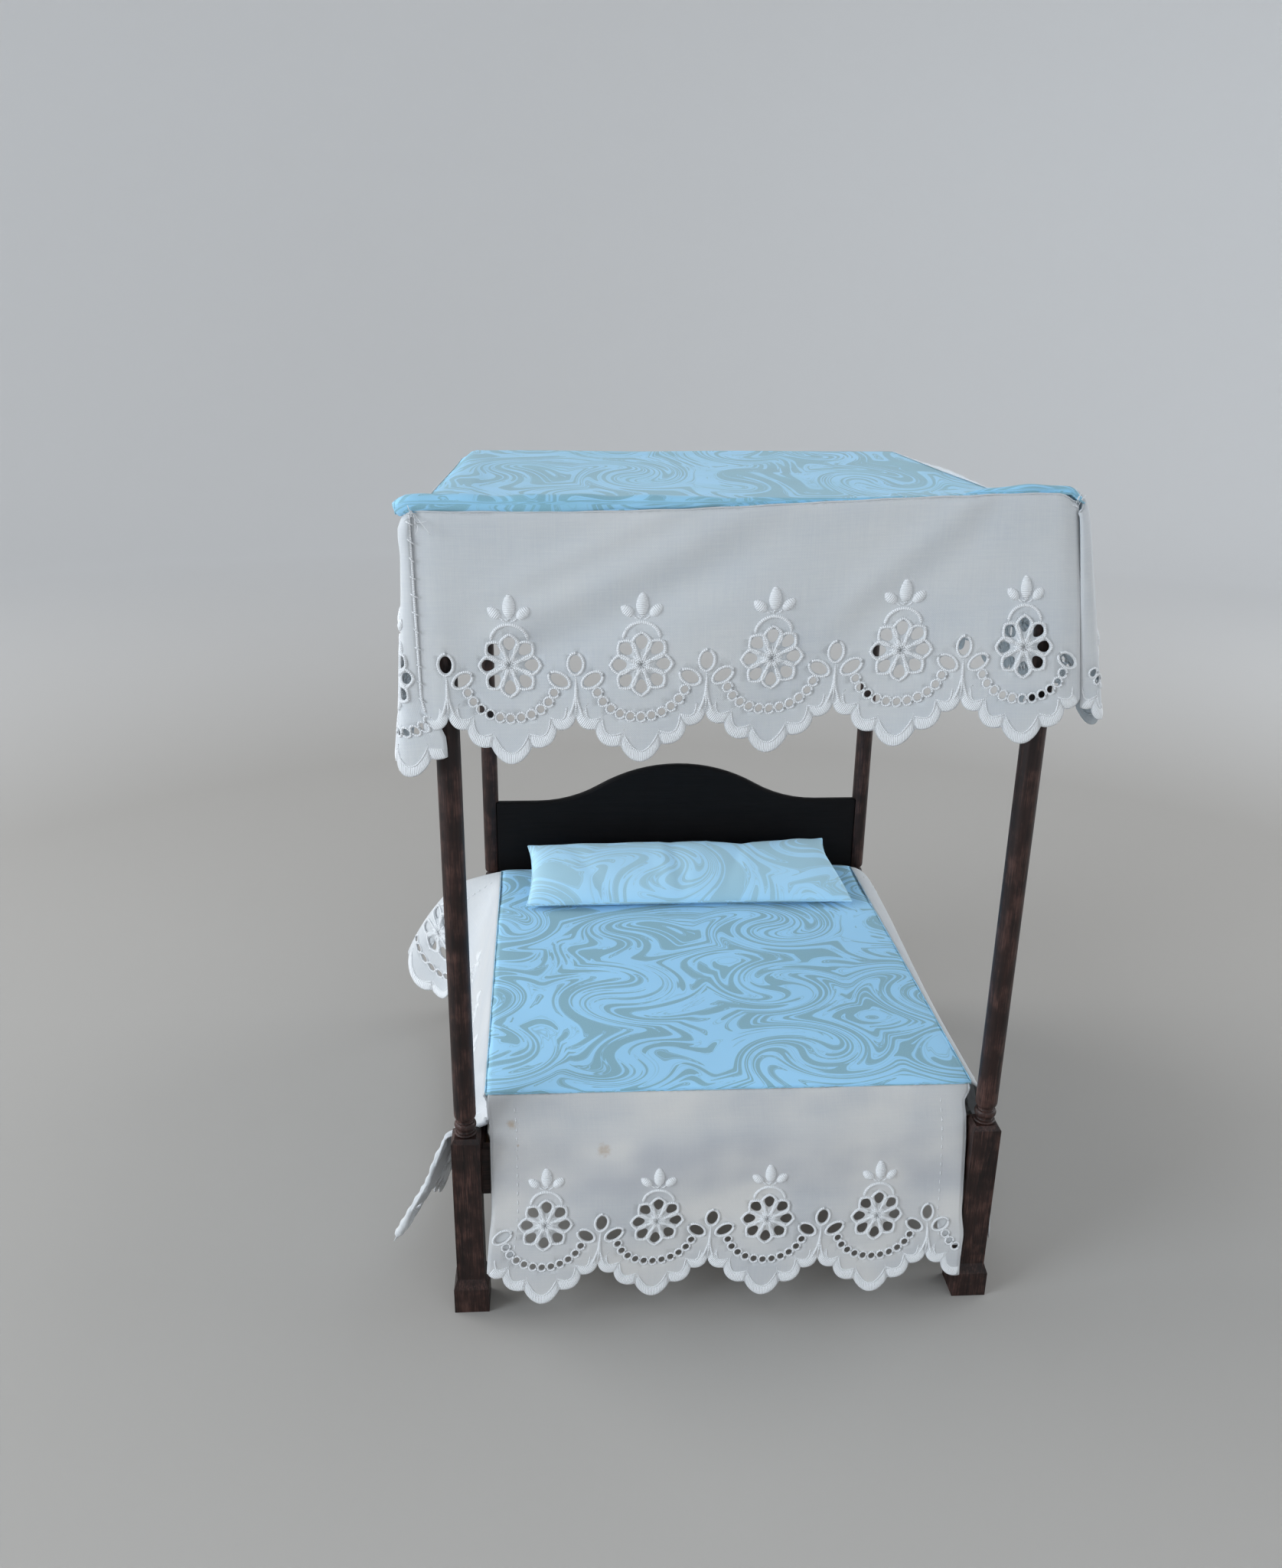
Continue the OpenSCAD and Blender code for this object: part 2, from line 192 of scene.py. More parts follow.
# ------------------------------------ materials
class Nodes:
    """Short names for building a node material."""

    def __init__(self, name):
        self.material = bpy.data.materials.new(name)
        self.material.use_nodes = True
        self.tree = self.material.node_tree
        self.shader = self.tree.nodes["Principled BSDF"]
        self.output = self.tree.nodes["Material Output"]
        self.object_space = self.add("TexCoord", "Object")

    def put(self, socket, value):
        """Links a socket or sets its value; a colour comes without its alpha."""
        if isinstance(value, bpy.types.NodeSocket):
            self.tree.links.new(value, socket)
        else:
            socket.default_value = (*value, 1) if socket.type == "RGBA" else value

    def add(self, kind, output, inputs=(), **settings):
        """One output of a new node; inputs maps names or places of its inputs to values."""
        node = self.tree.nodes.new("ShaderNode" + kind)
        for key, value in settings.items():
            setattr(node, key, value)
        for name, value in dict(inputs).items():
            self.put(node.inputs[name], value)
        return node.outputs[output]

    def mapped(self, source, scale, offset=(0, 0, 0), turn=(0, 0, 0)):
        """A space that is scaled, turned and moved."""
        return self.add("Mapping", "Vector", {"Vector": source, "Scale": scale,
                                              "Location": offset, "Rotation": turn})

    def noise(self, source, scale, detail=3, rough=0.5, distort=0.0, output="Fac"):
        """Noise over a space; three scales stretch it differently along each axis."""
        if isinstance(scale, (tuple, list)):
            source, scale = self.mapped(source, scale), 1.0
        return self.add("TexNoise", output, {"Vector": source, "Scale": scale, "Detail": detail,
                                             "Roughness": rough, "Distortion": distort})

    def xyz(self, source):
        """The three coordinates of a space."""
        return self.add("SeparateXYZ", 0, {0: source}).node.outputs

    def math(self, operation, a, b=0.0, c=0.0):
        return self.add("Math", 0, enumerate((a, b, c)), operation=operation)

    def plus(self, a, b):
        return self.math("ADD", a, b)

    def times(self, a, b):
        return self.math("MULTIPLY", a, b)

    def vector(self, operation, a, b=(0, 0, 0), scale=None):
        """Vector arithmetic; its output is one number where the operation measures."""
        output = "Value" if operation in ("DISTANCE", "LENGTH", "DOT_PRODUCT") else 0
        second = (1, b) if scale is None else ("Scale", scale)
        return self.add("VectorMath", output, [(0, a), second], operation=operation)

    def ramp(self, value, stops):
        """stops are (place, colour), where a colour may be one number for a grey."""
        colours = self.add("ValToRGB", "Color", {"Fac": value})
        points = colours.node.color_ramp.elements
        while len(points) < len(stops):
            points.new(0.5)
        for point, (place, colour) in zip(points, stops):
            point.position = place
            point.color = (*np.broadcast_to(colour, 3), 1)
        return colours

    def mix(self, amount, a, b):
        """Colour a where amount is 0, colour b where it is 1."""
        return self.add("Mix", 2, {"Factor": amount, 6: a, 7: b}, data_type="RGBA")

    def cloth_space(self):
        """Cloth coordinates in mm, in x along the weave and y across it."""
        return self.add("UVMap", "UV", uv_map="cloth")

    def bump(self, height, strength, distance):
        """Surface normals for a height pattern, with distance in mm."""
        return self.add("Bump", "Normal", {"Height": height, "Strength": strength,
                                           "Distance": distance * MM})

    def set(self, **inputs):
        """The finished material, with the shader's inputs set by name."""
        for key, value in inputs.items():
            self.put(self.shader.inputs[key.replace("_", " ")], value)
        return self.material


def wood(name, dark, light, along, gloss, pore=0.5, wear=0.0, shine=0.3):
    """Stained wood whose grain runs along one axis of the frame."""
    n = Nodes(name)
    stretch = [900.0, 900.0, 900.0]
    stretch[along] = 45.0
    grain = n.noise(n.object_space, stretch, 6, 0.62, 0.3)
    pores = n.noise(n.object_space, [s * 3.2 for s in stretch], 3, 0.7)
    patches = n.noise(n.object_space, 160.0, 3, 0.6)
    tone = n.plus(n.times(grain, 0.7), n.times(patches, 0.3))
    colour = n.ramp(tone, [(0.36, dark), (0.52, tuple(0.5 * (d + l) for d, l in zip(dark, light))),
                           (0.68, light)])
    rubbed = n.ramp(n.times(pores, patches), [(0.24, 0.0), (0.42, wear)])
    colour = n.mix(rubbed, colour, tuple(min(1.0, 2.6 * c + 0.01) for c in light))
    rough = n.ramp(pores, [(0.3, gloss + 0.22), (0.7, gloss)])
    height = n.plus(n.times(pores, pore), n.times(grain, 0.5))
    return n.set(Base_Color=colour, Roughness=rough, Specular_IOR_Level=shine,
                 Normal=n.bump(height, 0.55, 0.16))


def weave_height(n, space, pitch):
    """Plain weave: threads that pass over and under each other, pitch in mm."""
    wobble = n.vector("SCALE", n.noise(space, (0.3, 0.3, 1), 2, output="Color"), scale=0.35)
    threads = n.vector("ADD", space, wobble)
    turn = 2 * math.pi / pitch
    x, y, _ = n.xyz(threads)
    across = n.math("SINE", n.times(x, turn))
    along = n.math("SINE", n.times(y, turn))
    slub = n.noise(space, (2.2, 0.25, 1), 2, 0.6)
    return n.plus(n.times(across, along), n.times(slub, 1.4))


SEE_THROUGH = 0.22      # share of the light that shines through the white cotton
LAWN_PITCH = 0.46       # spacing of every second thread of the white cotton, in mm
PRINT_PITCH = 0.42


def white_cotton(name="cotton_lawn", tint=(0.675, 0.695, 0.715), blotch_light=0.25, stains=()):
    """Fine white cotton with a visible weave and a little see-through. Large soft blotches of
    painted light make it lighter and creamier in patches, for the light and shade of its soft
    dents; given stains, it also gets them and a band of painted shade.
    """
    n = Nodes(name)
    space = n.cloth_space()
    weave = weave_height(n, space, LAWN_PITCH)
    slubs = n.noise(space, (0.1, 2.6, 1), 3, 0.65)
    slubs_across = n.noise(space, (3.1, 0.09, 1), 3, 0.65)
    thick = n.times(n.plus(slubs, slubs_across), 0.5)
    warm = tuple(c * w for c, w in zip(tint, (1.03, 1.03, 1.02)))
    cool = tuple(c * w for c, w in zip(tint, (0.95, 0.96, 0.975)))
    colour = n.mix(n.ramp(thick, [(0.38, 0.0), (0.62, 1.0)]), cool, warm)
    # painted light: large soft blotches lift the cloth towards a lighter cream, for the light and
    # shade of its soft dents
    painted_blotches = n.noise(space, (0.035, 0.05, 1), 2, 0.5)
    colour = n.mix(n.ramp(painted_blotches, [(0.36, 0.0), (0.64, blotch_light)]), colour, (0.84, 0.81, 0.765))
    # painted shade: given stains, a patchy grey blue band across the middle depth stands for the
    # mattress and rails shading through the cloth
    if stains:
        depth = n.times(n.xyz(space)[1], 1 / 60)
        band = n.ramp(depth, [(0.15, 0.0), (0.27, 1.0), (0.38, 1.0), (0.50, 0.0)])
        patchy_shade = n.ramp(painted_blotches, [(0.36, 0.55), (0.60, 0.10)])
        colour = n.mix(n.times(band, patchy_shade), colour, (0.47, 0.475, 0.51))
    for x, y, size in stains:
        away = n.vector("DISTANCE", n.vector("MULTIPLY", space, (1, 1, 0)), (x, y, 0))
        ragged = n.noise(space, (0.9, 0.9, 1), 4, 0.7)
        spot = n.plus(n.times(away, 1 / size), ragged)
        colour = n.mix(n.ramp(spot, [(0.5, 0.75), (1.25, 0.0)]), colour, (0.50, 0.38, 0.27))
    through = n.add("BsdfTranslucent", 0, {"Color": colour})
    both = n.add("MixShader", 0, {0: SEE_THROUGH, 1: n.shader.outputs[0], 2: through})
    n.put(n.output.inputs["Surface"], both)
    return n.set(Base_Color=colour, Roughness=0.88, Specular_IOR_Level=0.25, Sheen_Weight=0.25,
                 Sheen_Roughness=0.5, Normal=n.bump(weave, 0.35, 0.07))


def stitch_thread():
    """Glossy white embroidery thread laid side by side across the stitch line."""
    n = Nodes("stitch_thread")
    along = n.xyz(n.cloth_space())[0]
    strands = n.math("SINE", n.times(along, 2 * math.pi / 0.44))
    fuzz = n.noise(n.object_space, (2600, 2600, 2600), 3, 0.6)
    height = n.plus(n.times(strands, 0.6), fuzz)
    colour = n.mix(fuzz, (0.72, 0.735, 0.75), (0.82, 0.83, 0.84))
    return n.set(Base_Color=colour, Roughness=0.55, Specular_IOR_Level=0.4, Sheen_Weight=0.3,
                 Normal=n.bump(height, 0.8, 0.12))


CELL = (62.0, 66.0)     # the print repeats its swirls in blocks of this size, in mm
# x, y, radius in mm and turn in radians of each swirl
SWIRLS = ((17, 18, 17, 2.3), (46, 15, 15, -1.9), (15, 50, 15, -2.4), (45, 48, 18, 2.1))
SEA = (0.330, 0.640, 0.900)
SAGE = (0.215, 0.400, 0.480)
# levels at which the marbling changes colour; their number is even, so both ends are SAGE
BANDS = (0.434, 0.440, 0.455, 0.460, 0.474, 0.586, 0.589, 0.600, 0.604, 0.634)
BAND_BLUR = 0.0025


def swirled(n, space):
    """Cloth places turned round each swirl of the print: x, y, radius and turn in radians."""
    cell = n.vector("MODULO", n.vector("ADD", space, (CELL[0] * 20, CELL[1] * 20, 0)), (*CELL, 1))
    result = space
    for x, y, radius, angle in SWIRLS:
        away = n.vector("MULTIPLY", n.vector("SUBTRACT", cell, (x, y, 0)), (1, 1, 0))
        square = n.vector("DOT_PRODUCT", away, away)
        near = n.math("SUBTRACT", 1.0, n.times(square, 1 / radius ** 2))
        near = n.math("POWER", n.math("MAXIMUM", near, 0.0), 1.6)
        turned_away = n.add("VectorRotate", 0, {
            "Vector": away, "Angle": n.times(near, angle)}, rotation_type="Z_AXIS")
        result = n.vector("ADD", result, n.vector("SUBTRACT", turned_away, away))
    return result


def marbled_print(name, turn, shift=(0, 0, 0), stretch=(0.70, 0.86, 1.0), veil=0.12, pale=0.0):
    """Pale blue cotton printed with grey green marbling: combed swirls with fine streaks."""
    n = Nodes(name)
    cloth = n.cloth_space()
    curled = swirled(n, n.mapped(cloth, stretch, shift, (0, 0, turn)))
    drift = n.vector("SUBTRACT", n.noise(curled, (0.030, 0.042, 1), 0, output="Color"),
                     (0.5, 0.5, 0.5))
    curled = n.vector("ADD", curled, n.vector("SCALE", drift, scale=30.0))
    flow = n.noise(curled, (0.031, 0.053, 1), 0.7, 0.45)
    fine = n.noise(curled, (0.16, 0.5, 1), 1.0, 0.5)
    level = n.plus(flow, n.times(fine, 0.035))
    stops, colour = [(0.0, SAGE)], SAGE
    for edge in BANDS:
        other = SEA if colour == SAGE else SAGE
        stops += [(edge, colour), (edge + BAND_BLUR, other)]
        colour = other
    colours = n.ramp(level, stops)
    fade = n.noise(cloth, (0.05, 0.05, 1), 3, 0.6)
    speck = n.noise(cloth, (3.3, 3.3, 1), 2, 0.6)
    colours = n.mix(n.ramp(fade, [(0.3, 0.0), (0.7, veil)]), colours, (0.24, 0.50, 0.62))
    colours = n.mix(n.ramp(speck, [(0.35, 0.16), (0.65, 0.0)]), colours, (0.40, 0.62, 0.78))
    # painted light: pale lifts the whole print towards pale blue, a lit copy of the same print
    colours = n.mix(pale, colours, (0.62, 0.86, 0.98))
    weave = weave_height(n, cloth, PRINT_PITCH)
    return n.set(Base_Color=colours, Roughness=0.85, Specular_IOR_Level=0.25,
                 Sheen_Weight=0.12, Normal=n.bump(weave, 0.3, 0.06))


def ticking():
    """Coarse pale cotton of the mattress."""
    n = Nodes("mattress_cover")
    fuzz = n.noise(n.object_space, (900, 900, 900), 4, 0.6)
    cross, up = (n.add("TexWave", "Fac", {
        "Vector": n.object_space, "Scale": 900.0, "Distortion": 1.0, "Detail": 1.0},
        wave_type="BANDS", bands_direction=axis) for axis in "XZ")
    height = n.plus(n.times(cross, up), fuzz)
    colour = n.mix(fuzz, (0.70, 0.67, 0.60), (0.80, 0.77, 0.71))
    return n.set(Base_Color=colour, Roughness=0.9, Sheen_Weight=0.2,
                 Normal=n.bump(height, 0.4, 0.1))


def metal():
    """Bright drawn wire of the tester's pins."""
    n = Nodes("pin_wire")
    scratch = n.noise(n.object_space, (4000, 4000, 300), 3, 0.6)
    colour = n.mix(scratch, (0.52, 0.52, 0.54), (0.68, 0.68, 0.70))
    rough = n.ramp(scratch, [(0.3, 0.28), (0.7, 0.45)])
    return n.set(Base_Color=colour, Metallic=1.0, Roughness=rough,
                 Normal=n.bump(scratch, 0.2, 0.03))


# ------------------------------------ draped cloth
class Drape:
    """Cloth that leaves an edge and hangs: turns pattern places (s, v, height) into points.

    s runs along the edge, v down the cloth. lean(s, v) is the cloth's slope from vertical,
    in radians, positive towards outward. shift(s, v) is added to the points after that, and
    reshape(points, s, v) gives them their last places.
    """

    def __init__(self, edge, outward, lean, length, depth, shift=None, reshape=None):
        self.length, self.depth = length, depth
        outward = np.array(outward, float)
        self.s = np.linspace(0, length, int(length) + 1)
        self.v = np.linspace(0, depth, int(depth * 2) + 1)
        s, v = np.meshgrid(self.s, self.v, indexing="ij")
        slope = lean(s, v)
        step = self.v[1] - self.v[0]
        middle = 0.5 * (slope[:, 1:] + slope[:, :-1])
        out, down = (np.pad(np.cumsum(part * step, 1), ((0, 0), (1, 0)))
                     for part in (np.sin(middle), np.cos(middle)))
        self.points = edge(s) + out[..., None] * outward - down[..., None] * np.array([0, 0, 1.0])
        if shift is not None:
            self.points = self.points + shift(s, v)
        if reshape is not None:
            self.points = reshape(self.points, s, v)
        along = np.gradient(self.points, axis=0)
        below = np.gradient(self.points, axis=1)
        self.normals = normed(np.cross(along, below))
        self.mirrored = (self.normals * outward).sum() > 0
        if not self.mirrored:
            self.normals = -self.normals

    def wound(self, faces):
        """Faces made in pattern space, turned over where this drape mirrors the pattern."""
        return [face[::-1] for face in faces] if self.mirrored else faces

    def at(self, places):
        """Points for rows of (s, v, height)."""
        places = np.asarray(places, float)
        a = np.clip(places[:, 0] / self.length, 0, 1) * (len(self.s) - 1)
        b = np.clip(places[:, 1] / self.depth, 0, 1) * (len(self.v) - 1)
        i = np.minimum(a.astype(int), len(self.s) - 2)
        j = np.minimum(b.astype(int), len(self.v) - 2)
        fa, fb = (a - i)[:, None], (b - j)[:, None]

        def blend(grid):
            low = grid[i, j] * (1 - fa) + grid[i + 1, j] * fa
            high = grid[i, j + 1] * (1 - fa) + grid[i + 1, j + 1] * fa
            return low * (1 - fb) + high * fb

        return blend(self.points) + normed(blend(self.normals)) * places[:, 2:3]


# ------------------------------------ lace pattern
# Pattern places are (x, y) in mm, with y up the cloth and the origin at a flower's centre.
EYELETS = 8
RING = 4.65             # flower centre to the middle of an eyelet
SWAG = (9.9, 8.0, -3.3) # half width, half height and centre of the swag of holes
SWAG_HOLES = 11
NOTCH = (REPEAT / 2, -10.9)
CUSPS = [(-NOTCH[0], NOTCH[1]), (-9.9, -13.7), (-4.5, -17.5), (4.5, -17.5), (9.9, -13.7), NOTCH]
LOBE_BULGE = (1.2, 1.7, FLOWER_RISE - 17.5, 1.7, 1.2)
BAND = 2.7              # width of the satin stitched edge


def turned(points, angle, centre=(0, 0)):
    """Points turned by an angle in radians and then moved to centre."""
    c, s = math.cos(angle), math.sin(angle)
    points = np.asarray(points, float)
    return points @ np.array([[c, s], [-s, c]]) + np.asarray(centre, float)


def leaf(length, width, angle, centre, count, point=1.35):
    """Closed leaf outline, pointed at both ends."""
    t = circle(count)
    wave = np.sin(t)
    shape = stacked(length / 2 * np.cos(t), width / 2 * np.sign(wave) * np.abs(wave) ** point)
    return turned(shape, angle, centre)


def petal(inner, outer, width, angle, count, peak=1.6):
    """Closed petal outline from the flower's centre outwards."""
    t = np.linspace(0, 1, count // 2 + 1)
    half = width / 2 * np.sin(math.pi * t ** peak) ** 0.9
    r = inner + (outer - inner) * t
    shape = np.concatenate([stacked(r, half), stacked(r, -half)[-2:0:-1]])
    return turned(shape, angle)


def swag_places():
    """Middle of each hole of the swag, evenly spaced along its ellipse."""
    t = np.linspace(198 * DEG, 342 * DEG, 400)
    line = stacked(SWAG[0] * np.cos(t), SWAG[2] + SWAG[1] * np.sin(t))
    along = run_length(line)
    wanted = np.linspace(0, along[-1], SWAG_HOLES)
    return stacked(*(np.interp(wanted, along, column) for column in line.T))


def lobes():
    """Outer and inner line of each satin lobe of the scalloped edge."""
    found = []
    t = np.linspace(0, 1, 15)[:, None]
    for (a, b), bulge in zip(zip(CUSPS[:-1], CUSPS[1:]), LOBE_BULGE):
        a, b = np.array(a), np.array(b)
        out = np.array([(b - a)[1], -(b - a)[0]]) / np.linalg.norm(b - a)
        outer = a + (b - a) * t + out * bulge * (4 * t * (1 - t)) ** 0.85
        inward = normed(np.array([0.0, 4.0]) - outer)
        depth = BAND * (1 + 0.12 * np.cos(2 * math.pi * t))
        found.append((outer, outer + inward * depth))
    return found


def leaf_places(x):
    """(length, width, angle, centre) of the three leaves at the notch whose middle is at x."""
    return [(3.7, 2.7, math.pi / 2, (x, 0.3)),
            (4.1, 2.4, 150 * DEG, (x - 3.55, -3.1)),
            (4.1, 2.4, 30 * DEG, (x + 3.55, -3.1))]


def holes_of_repeat():
    """Closed outlines of everything cut out of one repeat: flower, swag and left notch."""
    cut = []
    for k in range(EYELETS):
        angle = math.pi / 2 + k * 2 * math.pi / EYELETS
        shape = leaf(3.0, 2.45, 0, (RING, 0), 14, 0.9)
        shape[:, 1] *= 1 + 0.16 * (shape[:, 0] - RING)
        cut.append(turned(shape, angle))
    for place in swag_places():
        cut.append(leaf(1.6, 1.6, 0, place, 10, 1.0))
    for length, width, angle, centre in leaf_places(-NOTCH[0]):
        cut.append(leaf(length, width, angle, centre, 16, 1.05))
    return cut


class Needlework(Parts):
    """Raised stitches in pattern space: points are (s, v, height)."""

    def line(self, path, width, height, closed=False, lift=0.0, sides=6):
        """A padded stitch line, width across and height through the cloth."""
        path = np.asarray(path, float)
        if closed:
            tangent = np.roll(path, -1, 0) - np.roll(path, 1, 0)
        else:
            tangent = np.gradient(path, axis=0)
        tangent = normed(tangent)
        side = stacked(-tangent[:, 1], tangent[:, 0])
        turn = circle(sides)
        taper = np.ones(len(path))
        if not closed:
            taper[[0, -1]] = 0.35
        flat = path[:, None] + side[:, None] * (np.cos(turn)[None, :, None]
                                                * width / 2 * taper[:, None, None])
        rise = lift + np.sin(turn)[None, :] * height / 2 * taper[:, None]
        points = np.concatenate([flat, rise[..., None]], -1).reshape(-1, 3)
        uv = stacked(run_length(path)[:, None], turn[None, :]).reshape(-1, 2)
        self.add(points, ring_faces(len(path), sides, closed), uv)

    def pad(self, length, width, angle, centre, height, rows=9, sides=8):
        """A satin stitched petal: a flattened drop, fuller at its outer end."""
        t = np.linspace(0.02, 0.98, rows)
        half = width / 2 * np.sin(math.pi * t ** 0.85) ** 0.6
        x = (t - 0.5) * length
        turn = circle(sides)
        across = half[:, None] * np.cos(turn)[None, :]
        rise = height / 2 * (half / half.max())[:, None] * np.sin(turn)[None, :]
        flat = stacked(x[:, None], across).reshape(-1, 2)
        points = np.concatenate([turned(flat, angle, centre), rise.reshape(-1, 1)], 1)
        uv = stacked(x[:, None], turn[None, :]).reshape(-1, 2)
        self.add(points, ring_faces(rows, sides), uv)

    def band(self, outer, inner, height, rows=7):
        """A satin stitched lobe between two lines, with stitches running across it."""
        n = len(outer)
        across = np.linspace(0, 1, rows)
        flat = outer[:, None] + (inner - outer)[:, None] * across[None, :, None]
        t = np.linspace(0, 1, n)
        full = np.sin(math.pi * across)[None, :] ** 0.55
        full = full * (0.35 + 0.65 * np.sin(math.pi * t)[:, None] ** 0.5)
        full[:, -1] = 0.12
        full[:, 0] = 0.25
        uv = stacked(run_length(outer)[:, None], across[None, :]).reshape(-1, 2)
        top, bottom = (stacked(flat[..., 0], flat[..., 1], way * height / 2 * full).reshape(-1, 3)
                       for way in (1, -1))
        size = n * rows
        faces = grid_faces(n, rows)
        faces += [[i + size for i in face[::-1]] for face in grid_faces(n, rows)]
        rim = [i * rows for i in range(n)]
        rim += [(n - 1) * rows + k for k in range(1, rows)]
        rim += [i * rows + rows - 1 for i in range(n - 2, -1, -1)]
        rim += [k for k in range(rows - 2, 0, -1)]
        faces += [[a, b, b + size, a + size] for a, b in zip(rim, rim[1:] + rim[:1])]
        self.add(np.concatenate([top, bottom]), faces, np.concatenate([uv, uv]))


def stitches_of_repeat():
    """(kind, arguments) of each raised stitch shape of one repeat."""
    work = []
    for k in range(EYELETS):
        angle = math.pi / 2 + k * 2 * math.pi / EYELETS
        work.append(("line", (petal(0.4, 6.75, 3.95, angle, 24), 0.72, 1.1, True)))
        work.append(("line", (turned([(0.3, 0.0), (1.4, 0.0), (2.6, 0.0)], angle), 0.8, 0.8)))
    t = np.linspace(0, math.pi, 15)
    work.append(("line", (stacked(3.95 * np.cos(t), 5.3 + 3.5 * np.sin(t)), 0.85, 1.0)))
    work.append(("pad", (5.3, 2.9, math.pi / 2, (0.1, 12.6), 1.7)))
    for side, tilt in ((-1, 142), (1, 40)):
        work.append(("pad", (3.5, 2.4, math.radians(tilt), (side * 3.1, 11.2), 1.5)))
        stem = [(side * 0.4, 9.3), (side * 1.3, 9.7), (side * 2.3, 10.6)]
        work.append(("line", (stem, 0.5, 0.7)))
    work.append(("line", ([(-1.0, 10.1), (-0.3, 9.6), (0.3, 10.2), (1.1, 9.6)], 0.45, 0.8)))
    for place in swag_places():
        work.append(("line", (leaf(2.15, 2.15, 0, place, 12, 1.0), 0.52, 0.85, True)))
    x = -NOTCH[0]
    for length, width, angle, centre in leaf_places(x):
        rim = leaf(length + 0.95, width + 0.75, angle, centre, 18, 1.1)
        work.append(("line", (rim, 0.66, 0.95, True)))
    work.append(("line", ([(x, -2.3), (x, -5.0), (x, -8.0), (x, -10.6)], 0.8, 0.9)))
    bow = np.linspace(0, 1, 8)
    for side in (-1, 1):
        curve = stacked(x + side * 1.9 * bow ** 2, -4.6 - 7.0 * bow)
        work.append(("line", (curve, 0.66, 0.85)))
    for outer, inner in lobes():
        work.append(("band", (outer, inner, 0.66)))
        work.append(("line", (inner, 0.42, 0.66)))
        divide = np.stack([outer[0], inner[0] + 0.3 * (inner[0] - outer[0])])
        work.append(("line", (divide, 0.5, 1.0)))
    return work


def inside(points, outline):
    """Which points lie inside a closed outline."""
    x, y = points[:, 0], points[:, 1]
    result = np.zeros(len(points), bool)
    previous = outline[-1]
    for current in outline:
        crosses = (current[1] > y) != (previous[1] > y)
        rise = previous[1] - current[1]
        at = (previous[0] - current[0]) * (y - current[1]) / (rise if rise else 1e-9) + current[0]
        result ^= crosses & (x < at)
        previous = current
    return result


def lace_plan(length, depth, phase):
    """Outline, holes and needlework of a strip of lace, in (s, v) with v down the cloth.

    phase is where the first flower's centre lies along the strip.
    """
    flower_v = depth - FLOWER_RISE
    first = math.floor(-phase / REPEAT) - 1
    centres = [phase + REPEAT * k for k in range(first, first + int(length / REPEAT) + 4)]
    margin = 0.5

    def placed(points, x):
        points = np.asarray(points, float)
        return stacked(points[:, 0] + x, flower_v - points[:, 1])

    holes, work = [], Needlework()
    repeat_holes, repeat_stitches, repeat_lobes = holes_of_repeat(), stitches_of_repeat(), lobes()
    edge = []
    for x in centres:
        for shape in repeat_holes:
            shape = placed(shape, x)
            if shape[:, 0].min() > margin and shape[:, 0].max() < length - margin:
                holes.append(shape)
        for kind, arguments in repeat_stitches:
            if kind == "pad":
                size, width, angle, centre, height = arguments
                centre = placed([centre], x)[0]
                if 1.5 < centre[0] < length - 1.5:
                    work.pad(size, width, -angle, centre, height)
                continue
            lines = [placed(a, x) for a in arguments if np.ndim(a) == 2]
            rest = arguments[len(lines):]
            low = min(part[:, 0].min() for part in lines)
            high = max(part[:, 0].max() for part in lines)
            if low > 0.2 and high < length - 0.2:
                getattr(work, kind)(*lines, *rest)
            elif kind == "band" and high > 0.6 and low < length - 0.6:
                keep = (lines[0][:, 0] > 0.1) & (lines[0][:, 0] < length - 0.1)
                if keep.sum() > 3:
                    cut = [np.clip(part[keep], [0.1, -1e9], [length - 0.1, 1e9]) for part in lines]
                    work.band(*cut, *rest)
        for outer, _ in repeat_lobes:
            edge.append(placed(outer[:-1], x))
    edge = np.concatenate(edge)
    keep = (edge[:, 0] > 0.05) & (edge[:, 0] < length - 0.05)
    ends = [np.interp(s, edge[:, 0], edge[:, 1]) for s in (0, length)]
    edge = np.concatenate([[(0, ends[0])], edge[keep], [(length, ends[1])]])
    return edge, holes, work


LACE_GRID = 1.9         # spacing of the points inside the lace's cloth, in mm


